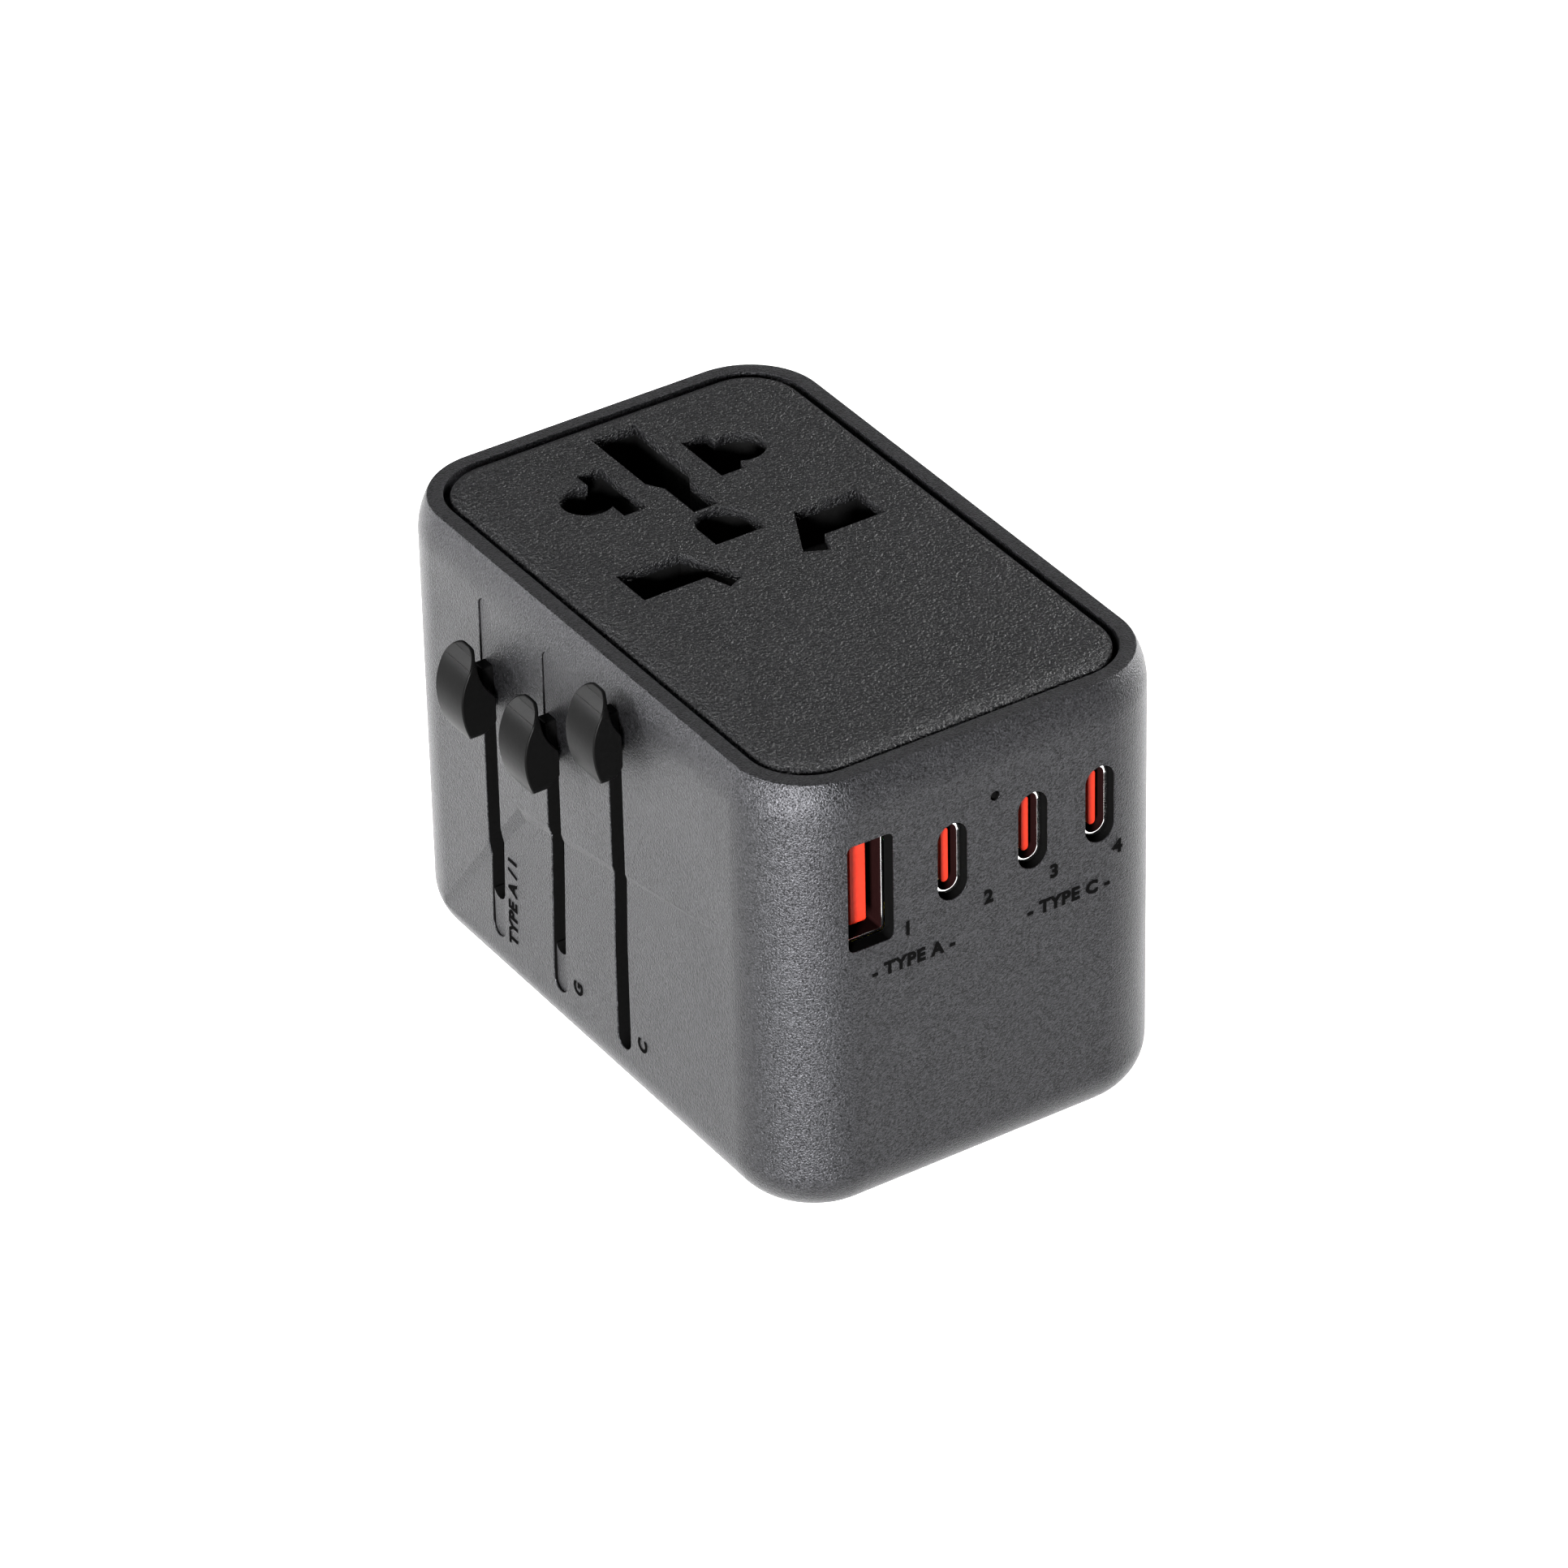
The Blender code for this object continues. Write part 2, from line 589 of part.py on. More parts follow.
def build_charger():
    """The charger board with its parts, the lamp's light pipe and the line fuse."""
    board = box("charger_board", (-20.5, 20.5), (BOARD_Y, BOARD_Y + BOARD_THICK), (8.0, 48.6), parts)
    paint(board, BOARD)
    core = box("transformer", (-18.5, -2.5), (-35.4, BOARD_Y - GAP), (13.0, 27.0), parts)
    join(core, box("winding", (-17.0, -4.0), (-35.9, BOARD_Y - GAP - 0.5), (11.0, 29.0)))
    paint(core, YELLOW)
    for index, x in enumerate((4.5, 14.0), start=1):
        can = rod("capacitor_%d" % index, (x, -30.9), 4.2, 11.5, 28.5, collection=parts)
        soften(can, 0.5)
        paint(can, BLACK)
    pipe = rod("led_light_pipe", (LED_X, LED_Z), 0.4, -HALF_D + 0.2, BOARD_Y - GAP, "Y", parts, 12)
    paint(pipe, LIGHT)
    fuse_spot = (-20.95, 20.0)
    fuse = rod("fuse", fuse_spot, 2.5, -10.0, 10.0, "X", parts, 20)
    paint(fuse, CERAMIC)
    for index, x in enumerate((-7.5, 7.5), start=1):
        clip = rod("fuse_clip_%d" % index, fuse_spot, 2.95, x - 1.5, x + 1.5, "X", parts, 20)
        cut(clip, rod("clip_bore_%d" % index, fuse_spot, 2.7, x - 3, x + 3, "X", facets=20),
            box("clip_mouth_%d" % index, (x - 3, x + 3), (-22.2, -19.7), (21.0, 24.0)))
        paint(clip, NICKEL)


# ---- sliding plug sets ----------------------------------------------------------------------
def build_knob(name, y, stem_low, out):
    """A slider knob: a crowned thumb paddle with a thin top lip, and a stem through the slot."""
    low = stem_low - KNOB_BELOW
    crown = 0.45
    face = []
    back = []
    steps = 10
    for step in range(steps + 1):
        t = step / steps
        bend = 5.5 if t < crown else 8.9
        reach = out - bend * (t - crown) ** 2
        thick = 0.4 + 9.0 * max(0.0, 0.93 - t) ** 1.2
        face.append((-HALF_W - reach, low + KNOB_HEIGHT * t))
        if t > crown:
            back.append((-HALF_W - max(KNOB_BACK, reach - thick), low + KNOB_HEIGHT * t))
    foot = (-HALF_W - KNOB_BACK, low + 1.5)
    heel = (face[0][0] + 1.4, low)
    half = KNOB_WIDTH / 2
    knob = prism(name, face + back[::-1] + [foot, heel], y - half, y + half, "XZ", parts)
    join(knob, box(name + "_stem", (-HALF_W - KNOB_BACK - 0.5, LINER_IN),
                   (y - STEM_HALF, y + STEM_HALF), (stem_low, stem_low + STEM_HEIGHT)))
    paint(knob, KNOB)
    return knob


def arm(name, y, low, top, reach):
    """The upright behind the left wall that a knob's stem drives, with a foot to the right."""
    upright = box(name, (ARM_OUT, ARM_IN), (y - 1.9, y + 1.9), (low, top))
    foot = box(name + "_foot", (ARM_OUT, reach), (y - 1.9, y + 1.9), (low, low + 2.0))
    return upright, foot


def build_usa_aus():
    """The carriage of the two flat blades, which also twist for angled sockets."""
    carriage = box("usa_aus_carriage", (-18.1, 10.6), (11.4, 19.6), (CARRIAGE_LOW, CARRIAGE_TOP),
                   parts)
    join(carriage, *arm("usa_arm", USA_Y, ARM_LOW, SHORT_STEM_LOW + STEM_HEIGHT, -17.0))
    slide = carrier("usa_aus_slide", (-HALF_W, USA_Y, SHORT_STEM_LOW))
    knob = build_knob("usa_aus_knob", USA_Y, SHORT_STEM_LOW, KNOB_OUT)
    blades = []
    for tag, side in (("left", -1), ("right", 1)):
        x = side * BLADE_X
        cut(carriage, rod("hub_bore_" + tag, (x, BLADE_Y), HUB_R + GAP, 20, 34))
        blade = rod("usa_aus_blade_" + tag, (0, 0), HUB_R, CARRIAGE_LOW, CARRIAGE_TOP + 0.5,
                    collection=parts)
        flange = rod("flange_" + tag, (x, BLADE_Y), HUB_R + 1.1, CARRIAGE_TOP + GAP,
                     CARRIAGE_TOP + 1.1)
        strip = prism("strip_" + tag, outline(BLADE_THICK / 2, PIN_WIDE / 2, 0.4, (x, BLADE_Y), 2),
                      BLADE_TIP, CARRIAGE_LOW + 1)
        blade.location = (x * MM, BLADE_Y * MM, 0.0)
        join(blade, flange, strip)
        paint(blade, NICKEL)
        blades.append(blade)
    attach(slide, carriage, knob, *blades)
    paint(carriage, INNER)


def build_uk():
    """The C-shaped carriage of the three rectangular pins, which clears the blades' carriage."""
    height = (CARRIAGE_LOW, CARRIAGE_TOP)
    carriage = box("uk_carriage", (-18.1, 17.8), (0.9, 8.3), height, parts)
    join(carriage, box("uk_column", (12.2, 17.8), (8.0, 25.0), height),
         box("uk_rear_bar", (-4.2, 13.0), (22.4, 31.2), height),
         *arm("uk_arm", UK_Y, ARM_LOW, SHORT_STEM_LOW + STEM_HEIGHT, -17.0))
    slide = carrier("uk_slide", (-HALF_W, UK_Y, SHORT_STEM_LOW))
    pieces = [carriage, build_knob("uk_knob", UK_Y, SHORT_STEM_LOW, KNOB_OUT)]
    for name, x, y, size, tip in (
            ("uk_live_pin", -UK_PIN_X, UK_PIN_Y, (PIN_WIDE, PIN_THICK), UK_PIN_TIP),
            ("uk_neutral_pin", UK_PIN_X, UK_PIN_Y, (PIN_WIDE, PIN_THICK), UK_PIN_TIP),
            ("uk_earth_pin", 0.0, UK_EARTH_Y, (PIN_THICK, EARTH_WIDE), UK_EARTH_TIP)):
        pin = box(name, (x - size[0] / 2, x + size[0] / 2), (y - size[1] / 2, y + size[1] / 2),
                  (tip, CARRIAGE_LOW - GAP), parts)
        soften(pin, 0.5)
        paint(pin, NICKEL)
        pieces.append(pin)
    attach(slide, *pieces)
    paint(carriage, INNER)


def build_eu():
    """The plug block of the two round pins, with its neck and arm."""
    points = outline(EU_BLOCK_HALF, EU_BLOCK_R, EU_BLOCK_R, (0, EU_BLOCK_Y), 8)
    block = prism("eu_plug_block", points, EU_BLOCK_LOW, EU_BLOCK_TOP, collection=parts, smooth=True)
    neck_y = (EU_Y - 1.9, EU_Y + 1.9)
    join(block, box("eu_post", (-14.0, -8.0), neck_y, (EU_BLOCK_TOP - 1, 45.2)),
         box("eu_neck", (ARM_OUT, -8.0), neck_y, (42.2, 45.2)),
         box("eu_arm", (ARM_OUT, ARM_IN), neck_y, (42.2, LONG_STEM_LOW + STEM_HEIGHT)))
    slide = carrier("eu_slide", (-HALF_W, EU_Y, LONG_STEM_LOW))
    pieces = [block, build_knob("eu_knob", EU_Y, LONG_STEM_LOW, EU_KNOB_OUT)]
    for tag, side in (("left", -1), ("right", 1)):
        pin = rod("eu_pin_" + tag, (side * EU_PIN_X, EU_BLOCK_Y), EU_PIN_R,
                  EU_BLOCK_LOW - EU_PIN_LENGTH, EU_BLOCK_LOW - GAP, collection=parts)
        soften(pin, 0.8)
        paint(pin, NICKEL)
        pieces.append(pin)
    attach(slide, *pieces)
    paint(block, INNER)


# ---- fasteners ------------------------------------------------------------------------------
def screw(name, spot, head_low, head_high, head_r, tip, shank_r):
    """A pan-head screw that points up."""
    made = rod(name, spot, head_r, head_low, head_high, collection=parts, facets=16)
    join(made, rod(name + "_shank", spot, shank_r, head_high - 0.2, tip, facets=8))
    cut(made, box(name + "_recess", (spot[0] - 0.9, spot[0] + 0.9), (spot[1] - 0.25, spot[1] + 0.25),
                  (head_low - 1, head_low + 0.4)),
        box(name + "_cross", (spot[0] - 0.25, spot[0] + 0.25), (spot[1] - 0.9, spot[1] + 0.9),
            (head_low - 1, head_low + 0.4)))
    paint(made, STEEL)


def build_screws():
    """Four screws hold the base plate, and four hold the contact deck to the socket plate."""
    for index, spot in enumerate(screw_spots(), start=1):
        screw("plate_screw_%d" % index, spot, 0.15, 1.0, 1.9, 8.0, 1.0)
    for index, spot in enumerate(POSTS, start=1):
        screw("deck_screw_%d" % index, spot, DECK_LOW - 1.0, DECK_LOW - GAP, 1.4, 40.0, 0.6)


build_casing()
build_socket_plate()
build_pin_face_plate()
build_liner()
build_partition()
build_deck()
build_contacts()
build_shutters()
build_ports()
build_charger()
build_usa_aus()
build_uk()
build_eu()
build_screws()
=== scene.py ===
import math

import bmesh
import bpy
from mathutils import Matrix, Vector


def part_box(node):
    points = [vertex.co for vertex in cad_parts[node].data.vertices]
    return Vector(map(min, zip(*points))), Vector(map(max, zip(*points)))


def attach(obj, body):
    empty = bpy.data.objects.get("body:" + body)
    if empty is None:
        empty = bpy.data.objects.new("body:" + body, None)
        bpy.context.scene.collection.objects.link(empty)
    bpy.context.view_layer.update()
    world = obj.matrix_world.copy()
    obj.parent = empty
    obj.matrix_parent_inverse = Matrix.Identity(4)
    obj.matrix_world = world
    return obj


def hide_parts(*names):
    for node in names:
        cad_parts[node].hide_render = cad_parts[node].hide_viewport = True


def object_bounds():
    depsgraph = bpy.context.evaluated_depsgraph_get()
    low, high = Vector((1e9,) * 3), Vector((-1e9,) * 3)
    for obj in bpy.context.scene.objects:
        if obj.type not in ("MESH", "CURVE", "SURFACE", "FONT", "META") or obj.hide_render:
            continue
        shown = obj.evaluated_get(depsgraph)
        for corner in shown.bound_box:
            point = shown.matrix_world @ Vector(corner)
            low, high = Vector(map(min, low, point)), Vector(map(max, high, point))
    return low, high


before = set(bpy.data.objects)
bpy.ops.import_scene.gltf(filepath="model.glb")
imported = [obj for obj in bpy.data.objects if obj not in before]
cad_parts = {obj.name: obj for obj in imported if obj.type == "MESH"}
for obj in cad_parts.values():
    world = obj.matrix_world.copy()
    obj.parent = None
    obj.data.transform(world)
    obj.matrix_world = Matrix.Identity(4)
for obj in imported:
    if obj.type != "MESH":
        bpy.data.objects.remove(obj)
cad_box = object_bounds()


# ---- Camera, floor and lights ----
# A long lens looks down on the corner between the slider wall and the port wall.
# The adapter stands on a plain white sweep. A key light from the rear left throws the knobs'
# shadows, a tall strip lights the front left corner, and three soft boxes the top and edges.
lens_mm = 193.95
camera_place = Vector((-0.39636, -0.62135, 0.5230))
camera_turn, camera_tilt, camera_roll = -32.558, 56.056, -1.272
floor_gap = 0.0001

camera_data = bpy.data.cameras.new("camera")
camera_data.lens = lens_mm
camera_data.sensor_width = 36.0
camera = bpy.data.objects.new("camera", camera_data)
bpy.context.scene.collection.objects.link(camera)
camera.matrix_world = (Matrix.Translation(camera_place)
                       @ Matrix.Rotation(math.radians(camera_turn), 4, "Z")
                       @ Matrix.Rotation(math.radians(camera_tilt), 4, "X")
                       @ Matrix.Rotation(math.radians(camera_roll), 4, "Z"))
bpy.context.scene.camera = camera

bpy.ops.mesh.primitive_plane_add(size=12.0, location=(0.0, 0.0, cad_box[0][2] - floor_gap))
floor = bpy.context.object
floor.name = "floor"
floor_paint = bpy.data.materials.new("white_sweep")
floor_paint.use_nodes = True
floor_shader = floor_paint.node_tree.nodes["Principled BSDF"]
floor_shader.inputs["Base Color"].default_value = (0.8, 0.8, 0.8, 1.0)
floor_shader.inputs["Roughness"].default_value = 0.9
floor_shader.inputs["Emission Color"].default_value = (1.0, 1.0, 1.0, 1.0)
floor_shader.inputs["Emission Strength"].default_value = 0.6
floor.data.materials.append(floor_paint)

world = bpy.data.worlds.new("tent")
world.use_nodes = True
world.node_tree.nodes["Background"].inputs["Color"].default_value = (1.0, 1.0, 1.0, 1.0)
world.node_tree.nodes["Background"].inputs["Strength"].default_value = 0.12
bpy.context.scene.world = world
bpy.context.scene.view_settings.view_transform = "Standard"


def soft_box(name, place, target, size, watts):
    """A rectangular area lamp at place that faces target, with a width and a height."""
    lamp = bpy.data.lights.new(name, "AREA")
    lamp.shape = "RECTANGLE"
    lamp.size, lamp.size_y = size
    lamp.energy = watts
    made = bpy.data.objects.new(name, lamp)
    bpy.context.scene.collection.objects.link(made)
    aim = (Vector(target) - Vector(place)).to_track_quat("-Z", "Y")
    made.matrix_world = Matrix.Translation(place) @ aim.to_matrix().to_4x4()


soft_box("key_left", (-0.66, 0.56, 0.26), (0.0, 0.0, 0.03), (0.18, 0.18), 15.0)
soft_box("corner_strip", (-0.60, -0.56, 0.17), (0.0, -0.03, 0.04), (0.14, 0.32), 68.0)
soft_box("rim_left", (-0.40, 0.78, 0.42), (0.0, 0.0, 0.03), (0.40, 0.5), 5.0)
soft_box("back_top", (0.53, 0.82, 0.75), (0.0, 0.0, 0.04), (0.50, 0.50), 5.0)
soft_box("rim_right", (0.70, 0.02, 0.22), (0.0, 0.0, 0.03), (0.25, 0.4), 14.0)


# ---- Base plate and its screws ----
# The flat lid over the pin mechanism: moulded in the casing's grey, with openings for every pin.
# Four pan-head steel screws in sunk seats hold it to the casing's bosses.
def only(piece):
    """Make one object the sole selected and active one."""
    bpy.ops.object.select_all(action="DESELECT")
    piece.select_set(True)
    bpy.context.view_layer.objects.active = piece


def use(piece, kind, name, **settings):
    """Add a modifier with these settings and apply it."""
    only(piece)
    step = piece.modifiers.new(name, kind)
    for setting, value in settings.items():
        setattr(step, setting, value)
    bpy.ops.object.modifier_apply(modifier=step.name)


def shade(piece, angle=35.0):
    """Shade smooth up to an angle, with flat faces kept flat."""
    only(piece)
    bpy.ops.object.shade_smooth_by_angle(angle=math.radians(angle))
    use(piece, "WEIGHTED_NORMAL", "flat_faces", keep_sharp=True, weight=100)


def plastic(name, colour, metallic, roughness, grain, depth, spread, coat=0.0, specular=0.5):
    """A moulded finish: an eroded grain of a given size and depth in metres, with flecks."""
    made = bpy.data.materials.new(name)
    made.use_nodes = True
    nodes, links = made.node_tree.nodes, made.node_tree.links
    shader = nodes["Principled BSDF"]
    shader.inputs["Metallic"].default_value = metallic
    shader.inputs["Coat Weight"].default_value = coat
    shader.inputs["Specular IOR Level"].default_value = specular
    where = nodes.new("ShaderNodeTexCoord")
    pebble = nodes.new("ShaderNodeTexNoise")
    pebble.inputs["Scale"].default_value = 1.0 / grain
    pebble.inputs["Detail"].default_value = 2.0
    pebble.inputs["Roughness"].default_value = 0.6
    links.new(where.outputs["Object"], pebble.inputs["Vector"])
    cloud = nodes.new("ShaderNodeTexNoise")
    cloud.inputs["Scale"].default_value = 70.0
    cloud.inputs["Detail"].default_value = 3.0
    links.new(where.outputs["Object"], cloud.inputs["Vector"])
    bump = nodes.new("ShaderNodeBump")
    bump.inputs["Strength"].default_value = 1.0
    bump.inputs["Distance"].default_value = depth
    links.new(pebble.outputs["Fac"], bump.inputs["Height"])
    links.new(bump.outputs["Normal"], shader.inputs["Normal"])
    tone = nodes.new("ShaderNodeMapRange")
    tone.inputs["From Min"].default_value = 0.3
    tone.inputs["From Max"].default_value = 0.7
    tone.inputs["To Min"].default_value = 1.0 - spread
    tone.inputs["To Max"].default_value = 1.0 + spread
    links.new(pebble.outputs["Fac"], tone.inputs["Value"])
    tint = nodes.new("ShaderNodeVectorMath")
    tint.operation = "SCALE"
    tint.inputs[0].default_value = colour
    links.new(tone.outputs["Result"], tint.inputs["Scale"])
    links.new(tint.outputs["Vector"], shader.inputs["Base Color"])
    gloss = nodes.new("ShaderNodeMapRange")
    gloss.inputs["To Min"].default_value = roughness - 0.06
    gloss.inputs["To Max"].default_value = roughness + 0.06
    links.new(cloud.outputs["Fac"], gloss.inputs["Value"])
    links.new(gloss.outputs["Result"], shader.inputs["Roughness"])
    return made


def metal(name, colour, roughness, streak_axis=2):
    """A plated or drawn metal with fine streaks along one axis and soft tarnish."""
    made = bpy.data.materials.new(name)
    made.use_nodes = True
    nodes, links = made.node_tree.nodes, made.node_tree.links
    shader = nodes["Principled BSDF"]
    shader.inputs["Metallic"].default_value = 1.0
    where = nodes.new("ShaderNodeTexCoord")
    stretch = nodes.new("ShaderNodeMapping")
    scale = [3000.0, 3000.0, 3000.0]
    scale[streak_axis] = 120.0
    stretch.inputs["Scale"].default_value = scale
    links.new(where.outputs["Object"], stretch.inputs["Vector"])
    streak = nodes.new("ShaderNodeTexNoise")
    streak.inputs["Scale"].default_value = 1.0
    streak.inputs["Detail"].default_value = 3.0
    links.new(stretch.outputs["Vector"], streak.inputs["Vector"])
    gloss = nodes.new("ShaderNodeMapRange")
    gloss.inputs["To Min"].default_value = max(roughness - 0.08, 0.03)
    gloss.inputs["To Max"].default_value = roughness + 0.12
    links.new(streak.outputs["Fac"], gloss.inputs["Value"])
    links.new(gloss.outputs["Result"], shader.inputs["Roughness"])
    tarnish = nodes.new("ShaderNodeTexNoise")
    tarnish.inputs["Scale"].default_value = 260.0
    links.new(where.outputs["Object"], tarnish.inputs["Vector"])
    ramp = nodes.new("ShaderNodeValToRGB")
    ramp.color_ramp.elements[0].position = 0.3
    ramp.color_ramp.elements[0].color = (*[c * 0.86 for c in colour], 1.0)
    ramp.color_ramp.elements[1].position = 0.7
    ramp.color_ramp.elements[1].color = (*colour, 1.0)
    links.new(tarnish.outputs["Fac"], ramp.inputs["Fac"])
    links.new(ramp.outputs["Color"], shader.inputs["Base Color"])
    return made


def dress(piece, finish, body, slot_name, *nodes):
    """Paint a finished piece, put it on its body and let it stand for its CAD nodes."""
    piece.data.materials.clear()
    piece.data.materials.append(finish)
    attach(piece, body)
    if nodes:
        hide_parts(*nodes)


def refined(node, name, edge, angle=35.0):
    """A merged copy of a CAD node with its sharp edges rounded."""
    piece = bpy.data.objects.new(name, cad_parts[node].data.copy())
    bpy.context.scene.collection.objects.link(piece)
    only(piece)
    bpy.ops.object.mode_set(mode="EDIT")
    bpy.ops.mesh.select_all(action="SELECT")
    bpy.ops.mesh.remove_doubles(threshold=1e-6)
    bpy.ops.mesh.dissolve_limited(angle_limit=math.radians(0.5))
    bpy.ops.object.mode_set(mode="OBJECT")
    if edge:
        use(piece, "BEVEL", "edge", width=edge, segments=2, limit_method="ANGLE",
            angle_limit=math.radians(angle))
    shade(piece)
    return piece


casing_grey = plastic("casing_grey", (0.016, 0.016, 0.0172), 0.95, 0.42, 0.0002, 0.00013, 0.9,
                      specular=0.2)
base_plate = refined("pin_face_plate", "base_plate", 0.0002)
dress(base_plate, casing_grey, "casing", "casing", "pin_face_plate")

zinc = metal("zinc_steel", (0.55, 0.55, 0.56), 0.32)
for index in range(1, 5):
    node = "plate_screw_%d" % index
    screw = refined(node, "base_screw_%d" % index, 0.0001, 50.0)
    dress(screw, zinc, "casing", "steel", node)


# ---- Contact deck, contacts and fuse ----
# A flat insulating deck carries brass contacts pressed from strip, held by four small screws.
# The ceramic fuse snaps into two nickel-plated clips in front of it.
deck_black = plastic("deck_black", (0.075, 0.075, 0.08), 0.0, 0.55, 0.0004, 0.00002, 0.15)
spring_brass = metal("spring_brass", (0.78, 0.6, 0.28), 0.3)
bright_nickel = metal("bright_nickel", (0.78, 0.765, 0.73), 0.2)
glazed_white = plastic("glazed_white", (0.8, 0.78, 0.73), 0.0, 0.25, 0.0008, 0.00001, 0.05,
                       coat=0.5)
for node, name, finish, slot_name, edge in (
        ("contact_deck", "deck", deck_black, "inner_plastic", 0.0002),
        ("charger_partition", "inner_wall", deck_black, "inner_plastic", 0.0002),
        ("live_contact", "live_strip", spring_brass, "brass", 0.0001),
        ("neutral_contact", "neutral_strip", spring_brass, "brass", 0.0001),
        ("earth_contact", "earth_strip", spring_brass, "brass", 0.0001),
        ("deck_screw_1", "small_screw_1", zinc, "steel", 0.0),
        ("deck_screw_2", "small_screw_2", zinc, "steel", 0.0),
        ("deck_screw_3", "small_screw_3", zinc, "steel", 0.0),
        ("deck_screw_4", "small_screw_4", zinc, "steel", 0.0),
        ("fuse", "fuse_tube", glazed_white, "ceramic", 0.0003),
        ("fuse_clip_1", "fuse_holder_1", bright_nickel, "nickel", 0.0),
        ("fuse_clip_2", "fuse_holder_2", bright_nickel, "nickel", 0.0)):
    dress(refined(node, name, edge), finish, "casing", slot_name, node)


# ---- Charger board ----
# A glass-epoxy board stands behind the ports, with a taped transformer and two capacitors.
# Nothing of it shows while the casing is closed.
board_green = plastic("board_green", (0.02, 0.13, 0.055), 0.0, 0.4, 0.0006, 0.00002, 0.2,
                      coat=0.3)
winding_tape = plastic("winding_tape", (0.72, 0.55, 0.08), 0.0, 0.4, 0.002, 0.00003, 0.12)
can_sleeve = plastic("can_sleeve", (0.03, 0.03, 0.06), 0.0, 0.3, 0.001, 0.00001, 0.1)
for node, name, finish, slot_name, edge in (
        ("charger_board", "board", board_green, "board", 0.0),
        ("transformer", "wound_transformer", winding_tape, "tape", 0.0004),
        ("capacitor_1", "can_1", can_sleeve, "capacitor_sleeve", 0.0),
        ("capacitor_2", "can_2", can_sleeve, "capacitor_sleeve", 0.0)):
    dress(refined(node, name, edge), finish, "casing", slot_name, node)


# ---- Charging ports ----
# Each connector is a drawn nickel shell round a red moulded tongue with plated contacts.
# The large port has a square mouth and the three small ones have round ends.
def block(name, low, high):
    """A box between two corners, in edit-ready form."""
    size = [high[i] - low[i] for i in range(3)]
    centre = [(high[i] + low[i]) / 2 for i in range(3)]
    bpy.ops.object.select_all(action="DESELECT")
    bpy.ops.mesh.primitive_cube_add(size=1.0, location=centre, scale=size)
    made = bpy.context.object
    made.name = name
    made.data.name = name
    bpy.ops.object.transform_apply(location=True, rotation=True, scale=True)
    return made


def pick(piece, kind, test):
    """Enter edit mode and select only the edges or faces that pass a test."""
    only(piece)
    bpy.ops.object.mode_set(mode="EDIT")
    bpy.ops.mesh.select_mode(type=kind)
    bpy.ops.mesh.select_all(action="DESELECT")
    mesh = bmesh.from_edit_mesh(piece.data)
    for item in (mesh.faces if kind == "FACE" else mesh.edges):
        if test(item):
            item.select_set(True)
    mesh.select_flush_mode()
    bmesh.update_edit_mesh(piece.data)


def along(axis):
    """A test for edges that run along an axis."""
    def test(edge):
        run = edge.verts[1].co - edge.verts[0].co
        return abs(run[axis]) > 0.999 * run.length
    return test


def facing(axis, sign):
    """A test for faces that look along an axis."""
    return lambda face: face.normal[axis] * sign > 0.999


def round_edges(piece, axis, radius, segments):
    """Bevel the edges that run along an axis to a radius."""
    pick(piece, "EDGE", along(axis))
    bpy.ops.mesh.bevel(offset=radius, segments=segments, affect="EDGES", clamp_overlap=False)
    bpy.ops.object.mode_set(mode="OBJECT")


def bored(piece, wall, depth):
    """Sink a blind bore into a piece's -Y face, leaving a wall round it."""
    pick(piece, "FACE", facing(1, -1))
    bpy.ops.mesh.inset(thickness=wall, depth=0.0)
    bpy.ops.mesh.inset(thickness=0.00001, depth=-depth)
    bpy.ops.object.mode_set(mode="OBJECT")


def carve(piece, tools, operation="DIFFERENCE"):
    """Cut tools from a piece, or join them to it, and remove them."""
    for tool in tools:
        use(piece, "BOOLEAN", "carve", operation=operation, solver="EXACT", object=tool)
        bpy.data.objects.remove(tool)


port_steel = metal("port_steel", (0.92, 0.92, 0.92), 0.12, 1)
port_red = plastic("port_red", (0.16, 0.008, 0.003), 0.0, 0.42, 0.0005, 0.00001, 0.08,
                   specular=0.06)
port_shadow = plastic("port_shadow", (0.003, 0.001, 0.001), 0.0, 0.5, 0.0005, 0.00001, 0.08,
                      specular=0.0)
pad_gold = metal("pad_gold", (0.85, 0.62, 0.3), 0.25, 1)


def port_pads(name, low, high, count, reach):
    """Plated contacts in a row down both sides of a tongue."""
    pitch = (high.z - low.z) / count
    pads = []
    for index in range(count):
        z = low.z + pitch * (index + 0.5)
        pads.append(block(name, (low.x - 0.00006, low.y + 0.0006, z - pitch * 0.27),
                          (high.x + 0.00006, low.y + reach, z + pitch * 0.27)))
    only(pads[0])
    for pad in pads:
        pad.select_set(True)
    bpy.ops.object.join()
    shade(pads[0])
    dress(pads[0], pad_gold, "casing", "nickel")


